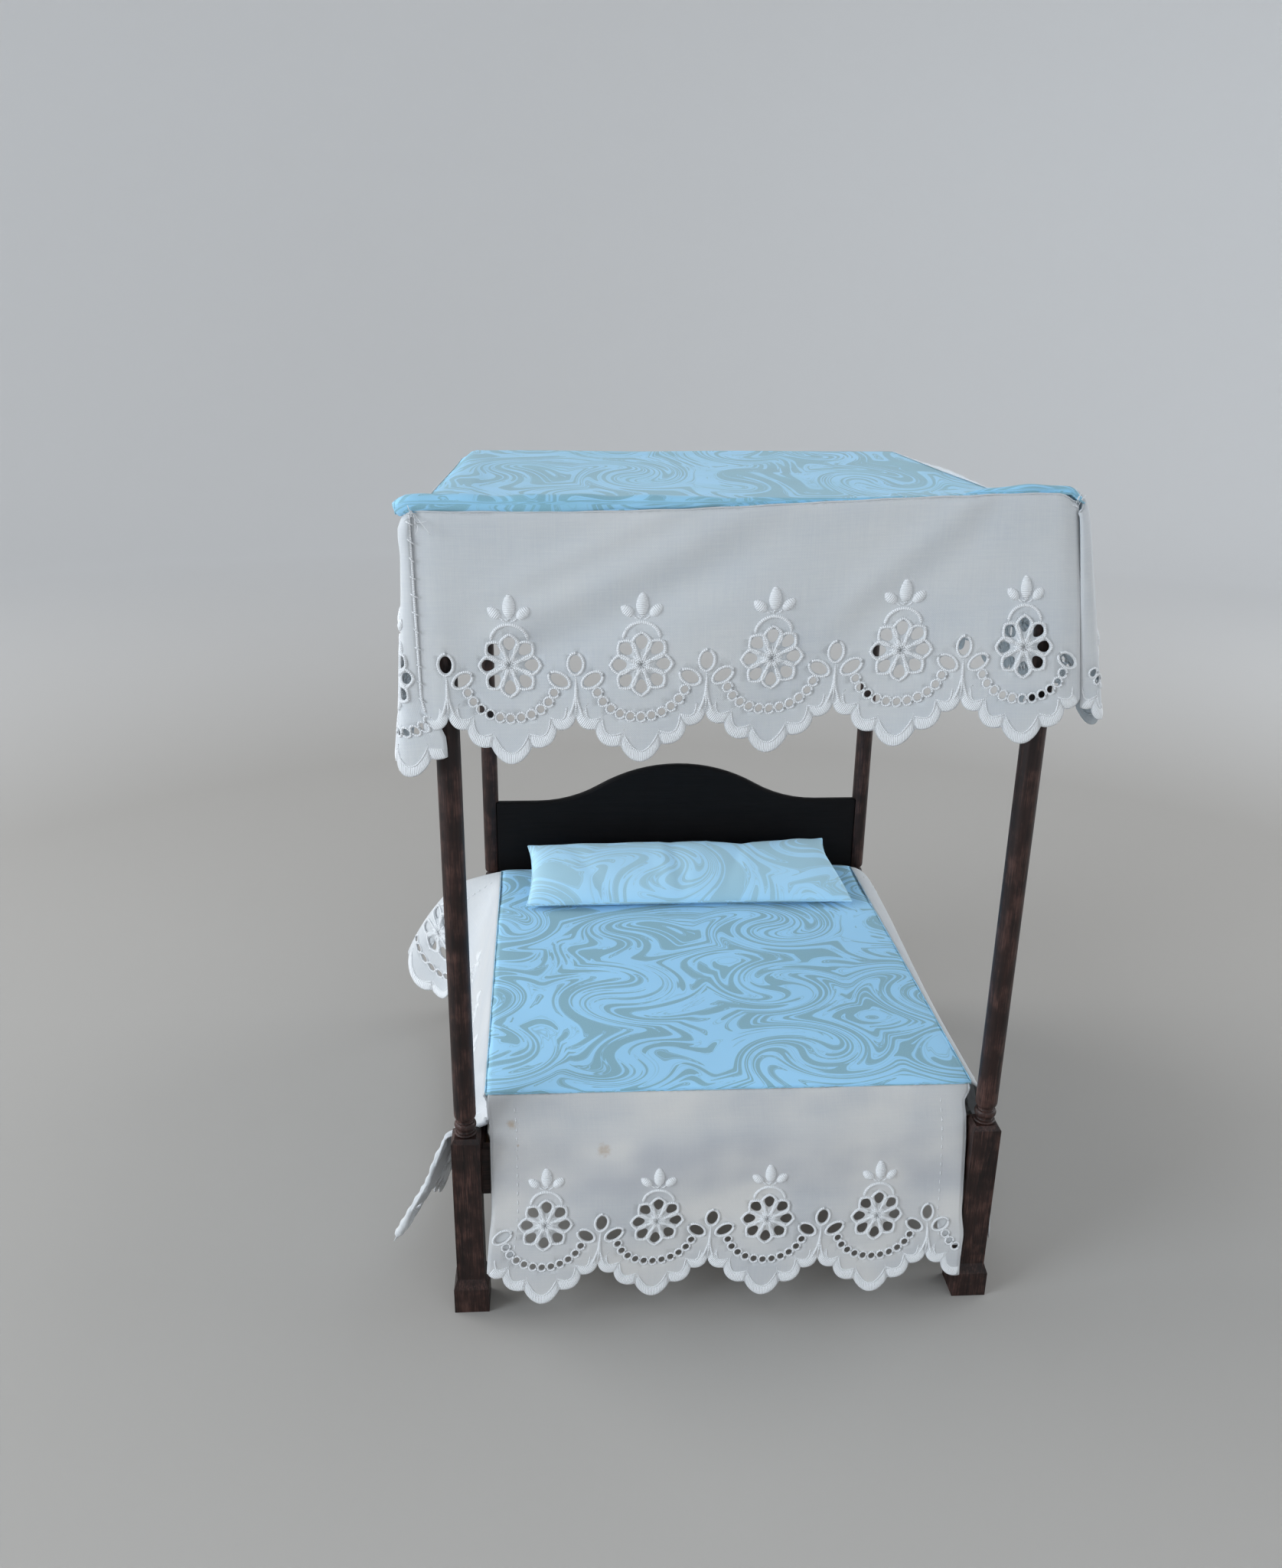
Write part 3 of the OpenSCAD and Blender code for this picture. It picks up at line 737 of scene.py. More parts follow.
def lace_strip(name, drape, phase, material, body, node):
    """A strip of broderie anglaise with true holes, hung on a drape, and its needlework."""
    length, depth = drape.length, drape.depth
    edge, holes, work = lace_plan(length, depth, phase)
    sides = max(2, int(depth / 2.2))
    left = [(0, v) for v in np.linspace(edge[0][1], 0, sides)[1:]]
    top = [(s, 0) for s in np.linspace(0, length, int(length / 1.8))[1:]]
    right = [(length, v) for v in np.linspace(0, edge[-1][1], sides)[1:-1]]
    outline = np.array([*edge[::-1], *left, *top, *right], float)
    columns = np.arange(1.0, length, LACE_GRID)
    inner = stacked(*np.meshgrid(columns, np.arange(0.5, depth, LACE_GRID))).reshape(-1, 2)
    fold = [(s, v) for s in np.arange(1.0, length - 0.5, LACE_GRID) for v in (0.9, 1.5)]
    inner = np.concatenate([inner, fold])
    near_edge = np.min([np.abs(inner[:, 0]), np.abs(length - inner[:, 0])], 0) < 0.5
    inner = inner[inside(inner, outline) & ~near_edge]
    gap = np.linalg.norm(inner[:, None] - edge[None, ::2], axis=2).min(1)
    inner = inner[gap > 0.7]
    for hole in holes:
        reach = np.linalg.norm(inner - hole.mean(0), axis=1)
        inner = inner[reach > np.linalg.norm(hole - hole.mean(0), axis=1).max() + 0.25]
    loops = [outline, *holes]
    points = [Vector(p) for loop in loops for p in loop] + [Vector(p) for p in inner]
    edges, start = [], 0
    for loop in loops:
        n = len(loop)
        edges += [(start + i, start + (i + 1) % n) for i in range(n)]
        start += n
    flat, _, triangles, *_ = delaunay_2d_cdt(points, edges, [], 0, 1e-5)
    flat = np.array([(p[0], p[1]) for p in flat])
    triangles = np.array([t for t in triangles if len(t) == 3])
    middle = flat[triangles].mean(1)
    keep = inside(middle, outline)
    for hole in holes:
        low, high = hole.min(0), hole.max(0)
        near = np.nonzero(((middle > low) & (middle < high)).all(1))[0]
        keep[near[inside(middle[near], hole)]] = False
    triangles = triangles[keep]
    used = np.unique(triangles)
    place = np.zeros(len(flat), int)
    place[used] = np.arange(len(used))
    flat, triangles = flat[used], place[triangles]
    cloth = make_mesh(name, drape.at(np.concatenate([flat, np.zeros((len(flat), 1))], 1)),
                      triangles.tolist(), material, flat)
    thicken(cloth, CLOTH)
    needle = work.mesh(name + "_embroidery", thread, drape)
    return carried(cloth, body, node), carried(needle, body)


# ------------------------------------ cords, seams and threads
def tube(path, radius, sides):
    """Points, faces and uv of a round tube along a path in mm; radius may vary along it."""
    path = np.asarray(path, float)
    radius = np.broadcast_to(np.asarray(radius, float), (len(path),))
    tangent = normed(np.gradient(path, axis=0))
    side = np.cross(tangent[0], [0, 0, 1.0])
    if np.linalg.norm(side) < 0.1:
        side = np.cross(tangent[0], [0, 1.0, 0])
    turn = circle(sides)
    rings = []
    for point, along, r in zip(path, tangent, radius):
        side = normed(side - along * side.dot(along))
        up = np.cross(along, side)
        rings.append(point + r * (np.cos(turn)[:, None] * side + np.sin(turn)[:, None] * up))
    uv = stacked(run_length(path)[:, None], turn[None, :] * radius.max()).reshape(-1, 2)
    return np.concatenate(rings), [face[::-1] for face in ring_faces(len(path), sides)], uv


def tubes(name, paths, radius, material, body, sides=6):
    """Several tubes as one piece. radius is one number, or one per tube."""
    parts = Parts()
    sizes = radius if isinstance(radius, (list, tuple)) else [radius] * len(paths)
    for path, size in zip(paths, sizes):
        parts.add(*tube(path, size, sides))
    return carried(parts.mesh(name, material), body)


def loose_threads(name, places, count, reach):
    """Frayed ends: fine curling threads that start near each place."""
    paths = []
    for place in places:
        for _ in range(count):
            heading = Vector([random.uniform(-1, high) for high in (1, 0.4, 1)])
            heading.normalize()
            bend = Vector([random.uniform(-1, 1) for _ in range(3)])
            size = random.uniform(0.35, 1.0) * reach
            base = Vector(place) + Vector([random.uniform(-0.5, 0.5) for _ in range(3)])
            paths.append([base + heading * size * t + bend * size * 0.5 * t * t
                          for t in np.linspace(0, 1, 7)])
    return tubes(name, paths, 0.07, thread, "canopy", 5)


# ------------------------------------ panels
ASKEW = 1.3             # how far the coverlet's foot end lies to the right, in mm


def askew(y):
    """Sideways shift of the coverlet, which lies a little out of square on the mattress."""
    return ASKEW * (PANEL_HIGH[1] - y) / (PANEL_HIGH[1] - PANEL_LOW[1])


def panel(name, low, high, height, material, body, node, thickness, slant=None):
    """A printed cloth panel between two corners, with its height in mm from a function."""
    spacing = 1.5
    x = np.linspace(low[0], high[0], int((high[0] - low[0]) / spacing) + 1)
    y = np.linspace(low[1], high[1], int((high[1] - low[1]) / spacing) + 1)
    gx, gy = np.meshgrid(x, y, indexing="ij")
    placed = gx + (slant(gy) if slant else 0)
    points = stacked(placed, gy, height(gx, gy)).reshape(-1, 3)
    uv = stacked(gx, gy).reshape(-1, 2)
    faces = [face[::-1] for face in grid_faces(len(x), len(y))]
    piece = make_mesh(name, points, faces, material, uv)
    thicken(piece, thickness)
    return carried(piece, body, node)


COVERLET_Z = 0.5 * (PANEL_LOW[2] + PANEL_HIGH[2])


def coverlet_height(x, y):
    """The coverlet lies on the mattress, dips a little and rolls over its edges."""
    waves = 0.22 * np.sin(x / 13.0 + 0.6) * np.sin(y / 21.0) + 0.12 * np.sin(x / 5.3 + y / 8.0)
    inward = np.minimum.reduce([x - PANEL_LOW[0], PANEL_HIGH[0] - x, y - PANEL_LOW[1]])
    rounding = 0.55 * np.exp(-inward / 1.6)
    under_pillow = -0.35 * bell(y, 52.0, 14.0)
    return COVERLET_Z + 0.15 + waves * ease(inward, 0, 12) - rounding + under_pillow


CANOPY_REST = TESTER_TOP + 0.55
CANOPY_SAG = 1.3


def canopy_front_top(x):
    """Height of the lace's top edge along the front of the canopy, which rises to the right."""
    return 201.9 + 4.0 * ease(x, -45, 68)


def canopy_height(x, y):
    """The canopy cloth rests on the tester, sags inside it and is lifted along its front."""
    inside_x = np.clip(1 - (x / 66) ** 2, 0, 1)
    inside_y = np.clip(1 - (y / 78) ** 2, 0, 1)
    sag = CANOPY_SAG * inside_x ** 0.6 * inside_y ** 0.6
    rightward = ease(x, -60, 66)
    start, stop = -81 + 9 * rightward, -58 + 36 * rightward
    along = np.clip((y - start) / (stop - start), 0, 1)
    lift = (canopy_front_top(x) - CANOPY_REST) * (1 - along * along * (3 - 2 * along))
    left_droop = 2.6 * ease(y, -60, 81) * ease(-x, 66.2, 70.6)
    back_droop = 1.6 * ease(y, 78.5, 81) * (1 - ease(x, -60, 60))
    hollow = 0.5 * bell(y, 42, 20) * ease(x, 67.2, 68)
    waves = 0.3 * np.sin(x / 17 + y / 23) * np.sin(y / 15 - x / 31) * inside_x
    pulled = 0.30 * np.sin((x - 1.3 * y) / 5.5) * bell(y, -48, 15) * ease(x, 18, 50)
    pulled = pulled * inside_x ** 0.3
    height = CANOPY_REST - sag + lift - hollow + waves + pulled
    height = height - 1.9 * ease(x, 64.8, 68) * (1 - ease(y, -80, -74))
    on_rail = np.maximum(ease(np.abs(x), 56, 61), ease(np.abs(y), 68, 73))
    height = np.where(on_rail > 0, np.maximum(height, TESTER_TOP - 2 + 2.45 * on_rail), height)
    return height - left_droop - back_droop


# ------------------------------------ drapes
def front_drop():
    """The coverlet's lace drop at the foot, which hangs over the foot rail."""
    low, high = FOOT_LOW, FOOT_HIGH
    length = high[0] - low[0]

    def edge(s):
        x = low[0] + s + ASKEW
        return stacked(x, PANEL_LOW[1], COVERLET_Z - 0.3)

    def lean(s, v):
        over_edge = 62 * DEG * np.exp(-v / 1.0)
        over_rail = 13 * DEG * (1 - ease(v, 9, 17))
        wave = 1.6 * DEG * np.sin(s / 13.5 + 0.8) * ease(v, 12, 40)
        return 9.7 * DEG + over_edge + over_rail + wave

    def shift(s, v):
        ripple = 0.35 * np.sin(s / 8.6 + v / 19) * ease(v, 10, 40)
        ripple = ripple - 1.0 * bell(s, 52, 20) * bell(v, 19, 9)
        ripple = ripple + 0.7 * bell(s, 20, 12) * bell(v, 16, 9)
        ripple = ripple - 0.5 * bell(s, 84, 9) * bell(v, 16, 10)
        ripple = ripple - 1.2 * bell(s, 0, 4) * ease(v, 30, 50)
        inward = 0.5 * ease(v, 3, 9) * (1 - ease(v, 30, 38)) - 1.1 * ease(v, 32, 50)
        # the right end stays clear of the post's square as the coverlet lifts off
        beside_post = ease(v, 1.0, 5) * (1 - ease(v, 32, 42)) * ease(s, length - 24, length)
        return stacked(inward - 1.75 * beside_post, ripple, 0)

    return Drape(edge, (0, -1, 0), lean, length, DROP_DEPTH, shift)


def side_drop(side):
    """The coverlet's left (-1) or right (1) drop, from the foot to the head."""
    run = PANEL_HIGH[1] - PANEL_LOW[1] - 1.0
    length = run + 7.5 if side < 0 else run
    x = PANEL_LOW[0] if side < 0 else PANEL_HIGH[0]

    def edge(s):
        y = PANEL_LOW[1] + 0.5 + s * run / length
        return stacked(x + askew(y), y, COVERLET_Z - 0.3)

    def lean(s, v):
        soft = 1.2 if side < 0 else 2.4 + 5.0 * ease(s, 30, length)
        middle = 75 * DEG * np.exp(-v / soft) + 13 * DEG
        if side > 0:
            ripple = 3 * DEG * np.sin(s / 16 + 1.0) * ease(v, 8, 40) * ease(s, 0, 50)
            return middle + ripple - 9 * DEG * ease(v, 12, 40) * (1 - ease(s, 0, 50))
        front = DEG * np.interp(v, [0, 5, 9, 13, 26, 36, 52], [62, 56, 38, 21, 20, 29, 26])
        back = DEG * np.interp(v, [0, 12, 22, 52], [80, 72, 42, 21])
        middle = middle + 11 * DEG * bell(length - s, 12, 34) * ease(v, 2, 10)
        at_front = np.exp(-(s / 23) ** 2)
        at_back = np.exp(-((length - s) / 10) ** 2)
        ripple = 3 * DEG * np.sin(s / 11 + 0.5) * ease(v, 10, 45) * (1 - at_front)
        return (middle + ripple) * (1 - at_front - at_back) + front * at_front + back * at_back

    def reshape(points, s, v):
        """The hem at the foot end is tucked in beside the foot drop, above the rail."""
        tuck = 1.03 * (1 - ease(s, 5, 15)) * ease(v, 0.5, 3) * (1 - ease(v, 12, 17.5))
        behind = 2.6 * ease(s, 0, 4.5) * np.exp(-(s / 26) ** 2) * ease(v, 12, 20)
        points = points.copy()
        points[..., 0] -= ((points[..., 0] - x - ASKEW) * tuck - behind) * (side < 0)
        return points

    depth = LEFT_DROP_DEPTH if side < 0 else DROP_DEPTH
    return Drape(edge, (side, 0, 0), lean, length, depth, None, reshape)


RIGHT_FLARE = 0.127     # how far the front valance's right end slants out per mm downwards
EASED_IN = 26.0         # length at the right end over which the slant is eased in


def valance_front():
    """The canopy's front valance, which slants outwards at its right end."""
    left, right = CANOPY_LOW[0] - 0.1, CANOPY_HIGH[0] - 1.3
    ratio = REPEAT / 27.65  # the lace is gathered a little along the canopy's edge
    extra = RIGHT_FLARE * VALANCE_DEPTH
    length = (right - left) * ratio + extra
    eased_from = length - extra - EASED_IN

    def edge(s):
        x = left + s / ratio
        return stacked(x, CANOPY_LOW[1] - 0.3, canopy_front_top(x))

    def lean(s, v):
        fold = 50 * DEG * np.exp(-v / 0.6)
        drift = 1.0 * DEG + 2.2 * DEG * np.sin(s / 19 + 0.4) * ease(v, 12, 45)
        return fold + drift

    def shift(s, v):
        """Soft slanting creases from the upper left, and one crease where it was folded."""
        slant = v + 0.42 * s
        crease = 0.95 * bell(slant, 31, 4.2) - 0.6 * bell(slant, 40, 4.0)
        crease = crease + 0.5 * bell(slant, 23, 2.6)
        crease = crease * ease(s, 8, 24) * (1 - ease(s, 58, 84)) * (1 - ease(v, 34, 44))
        pulled = v + 0.75 * (s - 75)
        pull = 0.5 * bell(pulled, 33, 3.8) - 0.35 * bell(pulled, 42, 4.5)
        crease = crease + pull * ease(s, 84, 96) * (1 - ease(s, 118, 132)) * (1 - ease(v, 36, 46))
        ironed = 0.20 * bell(s, 57.5, 0.6) + 0.14 * bell(s, 24.5, 0.6) * (1 - ease(v, 20, 30))
        soft = 0.6 * np.sin(s / 13 + v / 22 + 2.0) * ease(v, 4, 26) * ease(s, 0, 12)
        turned_in = 0.9 * ease(s, length - 5, length) + 0.7 * (1 - ease(s, 0, 5))
        squeeze = (EASED_IN + RIGHT_FLARE * v) / (EASED_IN + extra) - 1
        aside = np.maximum(s - eased_from, 0) * squeeze / ratio
        aside = aside + 0.02 * v * (1 - ease(s, 0, 20))
        corner = -1.9 * ease(s, length - 5.5, length) * np.exp(-v / 7)
        return stacked(aside, turned_in - (crease + ironed + soft), corner)

    return Drape(edge, (0, -1, 0), lean, length, VALANCE_DEPTH, shift)


def side_valance(side):
    """The canopy's left (-1) or right (1) valance, from the front corner to the back."""
    length = CANOPY_HIGH[1] - CANOPY_LOW[1] + 3.0
    x = CANOPY_LOW[0] if side < 0 else CANOPY_HIGH[0]
    start_y = CANOPY_LOW[1] - 0.9

    def edge(s):
        y = start_y + s
        return stacked(x, y, canopy_height(np.full_like(s, x), y))

    def lean(s, v):
        near = np.exp(-(s / 26) ** 2)
        fold = 72 * DEG * np.exp(-v / (1.1 + 2.2 * near * (side < 0)))
        ripple = 5 * DEG * np.sin(s / 12.5 + (0.9 if side < 0 else 2.4)) * ease(v, 6, 40)
        if side < 0:
            at_front = -15 * DEG * bell(v, 6.5, 2.8) + 3.0 * DEG * ease(v, 9, 20)
        else:
            at_front = 11.5 * DEG
        return fold + (ripple + 6.5 * DEG) * (1 - near) + at_front * near

    def reshape(points, s, v):
        """Each end turns across to the next valance's edge. The left front corner is sewn only
        part of the way down, and its loose end wraps further round, in front of the post."""
        if side < 0:
            front_seam = CANOPY_LOW[0] - 0.1 + 0.02 * v + 4.8 * ease(v, 38, 49)
        else:
            front_seam = CANOPY_HIGH[0] - 1.1 + RIGHT_FLARE * v
        back_seam = x - 0.4 * side
        end_y = CANOPY_HIGH[1] + 0.9 + 0.035 * v
        run = end_y - start_y
        front_turn = np.maximum(side * (points[..., 0] - front_seam), 0.4)
        back_turn = np.maximum(side * (points[..., 0] - back_seam), 0.4)
        from_front = 0.9 * np.logaddexp(0, (s - front_turn) / 0.9)
        from_back = 0.9 * np.logaddexp(0, (length - s - back_turn) / 0.9)
        inward = front_turn - (s - from_front) + back_turn - (length - s - from_back)
        nearer_back = ease(s / length, 0.3, 0.7)
        points = points.copy()
        points[..., 0] -= side * inward
        points[..., 1] = (1 - nearer_back) * (start_y + from_front * run / (length - front_turn))
        points[..., 1] += nearer_back * (end_y - from_back * run / (length - back_turn))
        points[..., 1] -= 0.8 * ease(v, 40, 49) * (1 - ease(s, 2, 12)) * (side < 0)
        points[..., 2] -= 1.9 * (1 - ease(s, 0, 5)) * np.exp(-v / 7) * (side > 0)
        return points

    depth = LEFT_VALANCE_DEPTH if side < 0 else VALANCE_DEPTH
    return Drape(edge, (side, 0, 0), lean, length, depth, None, reshape)


def valance_back():
    """The canopy's plain hanging back valance."""
    left, right = CANOPY_LOW[0] + 0.6, CANOPY_HIGH[0] - 0.6
    length = right - left

    def edge(s):
        x = left + s
        y = np.full_like(s, CANOPY_HIGH[1])
        return stacked(x, y, canopy_height(x, y))

    def lean(s, v):
        ripple = 3.5 * DEG * np.sin(s / 14 + 1.1) * ease(v, 8, 40)
        ripple = ripple * ease(s, 0, 14) * ease(length - s, 0, 14)
        return 65 * DEG * np.exp(-v / 1.0) + 2.0 * DEG + ripple

    return Drape(edge, (0, 1, 0), lean, length, VALANCE_DEPTH)


# ------------------------------------ the padded pieces
PILLOW_LEAN = 16.2 * DEG
PILLOW_DEPTH = 33.0
PILLOW_THICK = 10.0


def pillow(material):
    """A knife edged pillow with soft corners and the folds of a well stuffed cotton cover."""
    centre = 0.5 * (PILLOW_LOW + PILLOW_HIGH) - [0, 0, 0.9]
    half_w = 0.5 * (PILLOW_HIGH[0] - PILLOW_LOW[0])
    a = np.sin(np.linspace(-math.pi / 2, math.pi / 2, 81))
    b = np.sin(np.linspace(-math.pi / 2, math.pi / 2, 37))
    ga, gb = np.meshgrid(a, b, indexing="ij")
    corner = np.abs(ga) ** 6 * np.abs(gb) ** 4
    x = half_w * ga * (1 - 0.03 * (1 - gb ** 2) * np.abs(ga) ** 8)
    x = x - 4.6 * ease(ga, 0.55, 1.0) * ease(gb, -0.7, 1.0) + 0.8 * ease(ga, 0.8, 1.0)
    y = PILLOW_DEPTH / 2 * gb * (1 - 0.05 * (1 - ga ** 4))
    dent = 1.5 * bell(x, 21, 6.0) * ease(gb, 0.2, 1.0) - 0.6 * bell(x, 40, 5.0) * ease(gb, 0.2, 1.0)
    y = y - dent - (0.7 + 0.9 * ease(-ga, 0.2, 1.0)) * ease(gb, 0.5, 1.0)
    full = np.clip(1 - np.abs(ga) ** 9, 0, 1) ** 0.5 * np.clip(1 - np.abs(gb) ** 2.4, 0, 1) ** 0.55
    folds = 0.55 * bell(x + 0.12 * y, -7, 1.8) - 0.5 * bell(x + 0.1 * y, -3.0, 1.6)
    folds += 0.45 * bell(x - 0.3 * y, 4, 1.7) - 0.55 * bell(x - 0.35 * y, 16, 2.2)
    folds += 0.4 * bell(x - 0.2 * y, 21, 1.9) - 0.35 * bell(x + 0.5 * y, -34, 2.6)
    folds += 0.30 * np.sin(x / 3.1 + 0.8 * np.sin(y / 5)) * ease(np.abs(gb), 0.45, 0.95)
    folds += 0.5 * np.sin(gb * 5 + 1) * ease(np.abs(ga), 0.75, 0.98)
    crown = PILLOW_THICK / 2 * full
    lift = 0.9 * corner * (gb > 0) * (ga > 0)
    rows, columns = len(a), len(b)
    faces = grid_faces(rows, columns)
    c, s = math.cos(PILLOW_LEAN), math.sin(PILLOW_LEAN)
    shell = Parts()
    for way, depth_of_folds, print_from in ((1, 1.0, 0), (-1, 0.2, 60)):
        z = way * crown + depth_of_folds * folds * full + lift
        points = stacked(x, y * c - z * s, y * s + z * c) + centre
        shell.add(points.reshape(-1, 3), [face[::-way] for face in faces],
                  stacked(x, y * 1.12 + print_from).reshape(-1, 2))
    piece = carried(shell.mesh("pillow_soft", material), "pillow", "pillow")
    weld(piece, "seam", 0.02)
    points = shell.points[0]
    rim = [(i, 0) for i in range(rows)] + [(rows - 1, j) for j in range(columns)]
    rim += [(i, columns - 1) for i in range(rows - 1, -1, -1)]
    rim += [(0, j) for j in range(columns - 1, -1, -1)]
    seam = [points[i * columns + j] for i, j in rim]
    seam = [p for p, q in zip(seam, seam[1:] + seam[:1]) if np.linalg.norm(p - q) > 0.05]
    tubes("pillow_seam", [seam + seam[:1]], 0.32, material, "pillow")


def rounded(places, half, radius):
    """Places on a box or rectangle of half size half, moved in to its rounded edges."""
    core = np.clip(places, radius - half, half - radius)
    away = places - core
    size = np.linalg.norm(away, axis=-1, keepdims=True)
    return core + away / np.maximum(size, 1e-9) * np.minimum(size, radius)


def rounded_box(low, high, radius, count=40):
    """Points and faces of a box with rounded edges, as six grids."""
    half = 0.5 * (high - low)
    parts = Parts()
    t = np.sin(np.linspace(-1, 1, count) * math.pi / 2)
    for axis in range(3):
        for way in (1, -1):
            cube = np.full((count, count, 3), float(way))
            cube[..., (axis + 1) % 3], cube[..., (axis + 2) % 3] = np.meshgrid(t, t, indexing="ij")
            points = rounded(cube * half, half, radius).reshape(-1, 3) + 0.5 * (high + low)
            parts.add(points, [face[::-way] for face in grid_faces(count, count)], points[:, :2])
    return np.concatenate(parts.points), parts.faces


def rounded_ring(low, high, level, radius=3.0):
    """Path round a rectangle with rounded corners, at one level."""
    half = 0.5 * (high - low)[:2]
    turn = np.linspace(0, 2 * math.pi, 121)
    heading = stacked(np.cos(turn), np.sin(turn))
    reach = (half / np.maximum(np.abs(heading), 1e-9)).min(-1, keepdims=True)
    flat = rounded(heading * reach, half, radius) + 0.5 * (low + high)[:2]
    return stacked(*flat.T, level)


def mattress(material, thread):
    """A stuffed mattress with a piped seam round its top and bottom."""
    low, high = MATTRESS_LOW + [0.3, 0.3, 0.25], MATTRESS_HIGH - [0.3, 0.3, 0.45]
    points, faces = rounded_box(low, high, 2.2)
    x, y, z = points.T
    middle = 0.5 * (low[2] + high[2])
    tuft = np.cos(x / 10.5) * np.cos(y / 12.0)
    points[:, 2] += 0.18 * tuft * np.where(z > middle, 1, -1) * ease(np.abs(z - middle), 5, 7)
    piece = make_mesh("mattress_soft", points, faces, material)
    weld(piece, "seams", 0.03)
    carried(piece, "mattress", "mattress")
    rings = [rounded_ring(low, high, level) for level in (low[2] + 1.3, high[2] - 1.3)]
    tubes("mattress_piping", rings, 0.5, thread, "mattress", 8)


# ------------------------------------ trims of the cloth
def rolled_hem(material):
    """The canopy's front hem, rolled on itself: thick at the left, lost in the middle,
    and twisted up again at the right corner."""
    y = CANOPY_LOW[1] + 1.2
    x = np.linspace(CANOPY_LOW[0] - 2.6, 30, 90)
    size = 1.75 * (1 - ease(x, -40, 29)) + 0.22
    size = size * (1 + 0.05 * np.sin(x / 3.7) + 0.04 * np.sin(x / 1.9 + 1))
    size[:3] *= (0.80, 0.93, 1.0)
    top = canopy_front_top(x)
    end_curl = np.exp(-(x - x[0]) / 1.8)
    path = stacked(x, y + 0.25 * np.sin(x / 6) + 0.6 * end_curl, top + size * 0.72 - 0.9 * end_curl)
    left = tubes("canopy_rolled_hem", [path], [size], material, "canopy", 14)
    x = np.linspace(43, CANOPY_HIGH[0] - 0.6, 40)
    swell = np.sin(math.pi * np.clip((x - 43) / (x[-1] - 43 + 4.0), 0, 1)) ** 0.8
    size = 0.15 + 1.05 * swell * (1 + 0.10 * np.sin(x / 1.7))
    top = canopy_front_top(x) - 1.9 * ease(x, 64.8, 68)
    path = stacked(x, y + 0.3 * np.sin(x / 2.3) + 0.5, top + size * 0.45)
    right = tubes("canopy_hem_twist", [path], [size], material, "canopy", 12)
    return left, right


def hem_hollow(material):
    """The dark open end of the rolled hem: a coil of cloth edge seen from its end."""
    turn = np.linspace(0, 2.1 * 2 * math.pi, 50)
    radius = 1.45 - 0.42 * turn / (2 * math.pi)
    x = CANOPY_LOW[0] - 2.75
    middle_z = canopy_front_top(x) + 0.55
    path = stacked(x, CANOPY_LOW[1] + 1.75 + radius * np.cos(turn),
                   middle_z + radius * np.sin(turn))
    return tubes("canopy_hem_end", [path], 0.2, material, "canopy")


def stitch_rows(name, drape, bottom, top=3, inset=6.5, pitch=2.4):
    """Running stitches down both side hems of a coverlet drop."""
    work = Needlework()
    half = pitch * 0.27
    for s in (inset, drape.length - inset):
        for k in range(int((bottom - top) / pitch)):
            v = top + (k + 0.5) * pitch
            work.line([(s, v - half), (s, v), (s, v + half)], 0.32, 0.3, lift=0.14)
    return carried(work.mesh(name, thread, drape), "coverlet")


def side_hems(name, drape, depth, width=6.6, rows=8, columns=60):
    """The turned back layer along both ends of a coverlet drop."""
    parts = Parts()
    for outer, inner in ((0.05, width), (drape.length - width, drape.length - 0.05)):
        s, v = np.meshgrid(np.linspace(outer, inner, rows), np.linspace(0.6, depth, columns),
                           indexing="ij")
        flat = stacked(s, v, -0.42).reshape(-1, 3)
        parts.add(drape.at(flat), grid_faces(rows, columns), flat[:, :2])
    return carried(thicken(parts.mesh(name, lawn), CLOTH), "coverlet")


def seam_piping(name, drape, material, body, radius=0.2, swell=0.0):
    """The seam ridge where a drop is sewn to its panel, puffed up by swell along its middle."""
    s = np.linspace(0.2, drape.length - 0.2, 110)
    puffed = swell * bell(s, 0.62 * drape.length, 0.14 * drape.length)
    path = drape.at(stacked(s, 0.15, 0.05))
    path[:, 2] += 0.15 + 0.06 * np.sin(s / 1.9) + 0.8 * puffed
    return tubes(name, [path], [radius + puffed], material, body)


def edge_folds(name, drape, depth):
    """The soft round folds down both ends of a coverlet drop."""
    v = np.linspace(0.3, depth, 50)
    paths = [drape.at(stacked(s, v, -0.2)) for s in (0.2, drape.length - 0.2)]
    return tubes(name, paths, 0.34, lawn, "coverlet", 8)


def whip_stitches(name, left, right, depth=42, pitch=3.6):
    """Corner seam between two valances: a ridge crossed by slanting stitches."""
    v = np.linspace(0.8, depth, int(depth / 0.9))
    ridge = 0.5 * (left.at(stacked(0.3, v, 0)) + right.at(stacked(0.3, v, 0)))
    paths = [ridge + np.array([0, -0.15, 0])]
    for k in range(2, len(v) - 1, max(1, int(round(pitch / 0.9)))):
        tilt = np.array([random.uniform(0.5, 0.9), -0.42, random.uniform(-0.7, -0.2)])
        paths.append([ridge[k] - tilt * [1, -0.2, 1], ridge[k] + [0, -0.62, 0], ridge[k] + tilt])
    sizes = [0.3] + [0.16] * (len(paths) - 1)
    return tubes(name, paths, sizes, thread, "canopy")


# ------------------------------------ the bed
# place along the foot drop, depth and size in mm of each brown spot
STAINS = ((5.4, 7.6, 3.0), (28.2, 14.8, 4.0), (6.8, 13.0, 0.8))

print_top = marbled_print("print_coverlet", 0.0)
print_canopy = marbled_print("print_canopy", 0.10, (37.0, 12.0, 0.0), (0.95, 0.40, 1.0), 0.55)
# painted light: the pillow's print is lifted 0.35 of the way to pale blue, for the window light on
# it
print_pillow = marbled_print("print_pillow", 1.2, (-21.0, 55.0, 0.0), (0.62, 0.72, 1.0), 0.2, 0.35)
print_hem = marbled_print("print_hem", 0.4, (9.0, 31.0, 0.0), (0.75, 1.0, 1.0), 0.75)
lawn = white_cotton()
# painted shade: the foot drop's cotton is a darker copy of the white cotton, for the canopy's shade
# on it; it also carries the brown stains
lawn_shaded_stained = white_cotton("cotton_lawn_shaded_stained", (0.61, 0.62, 0.635), 0.6, STAINS)
thread = stitch_thread()


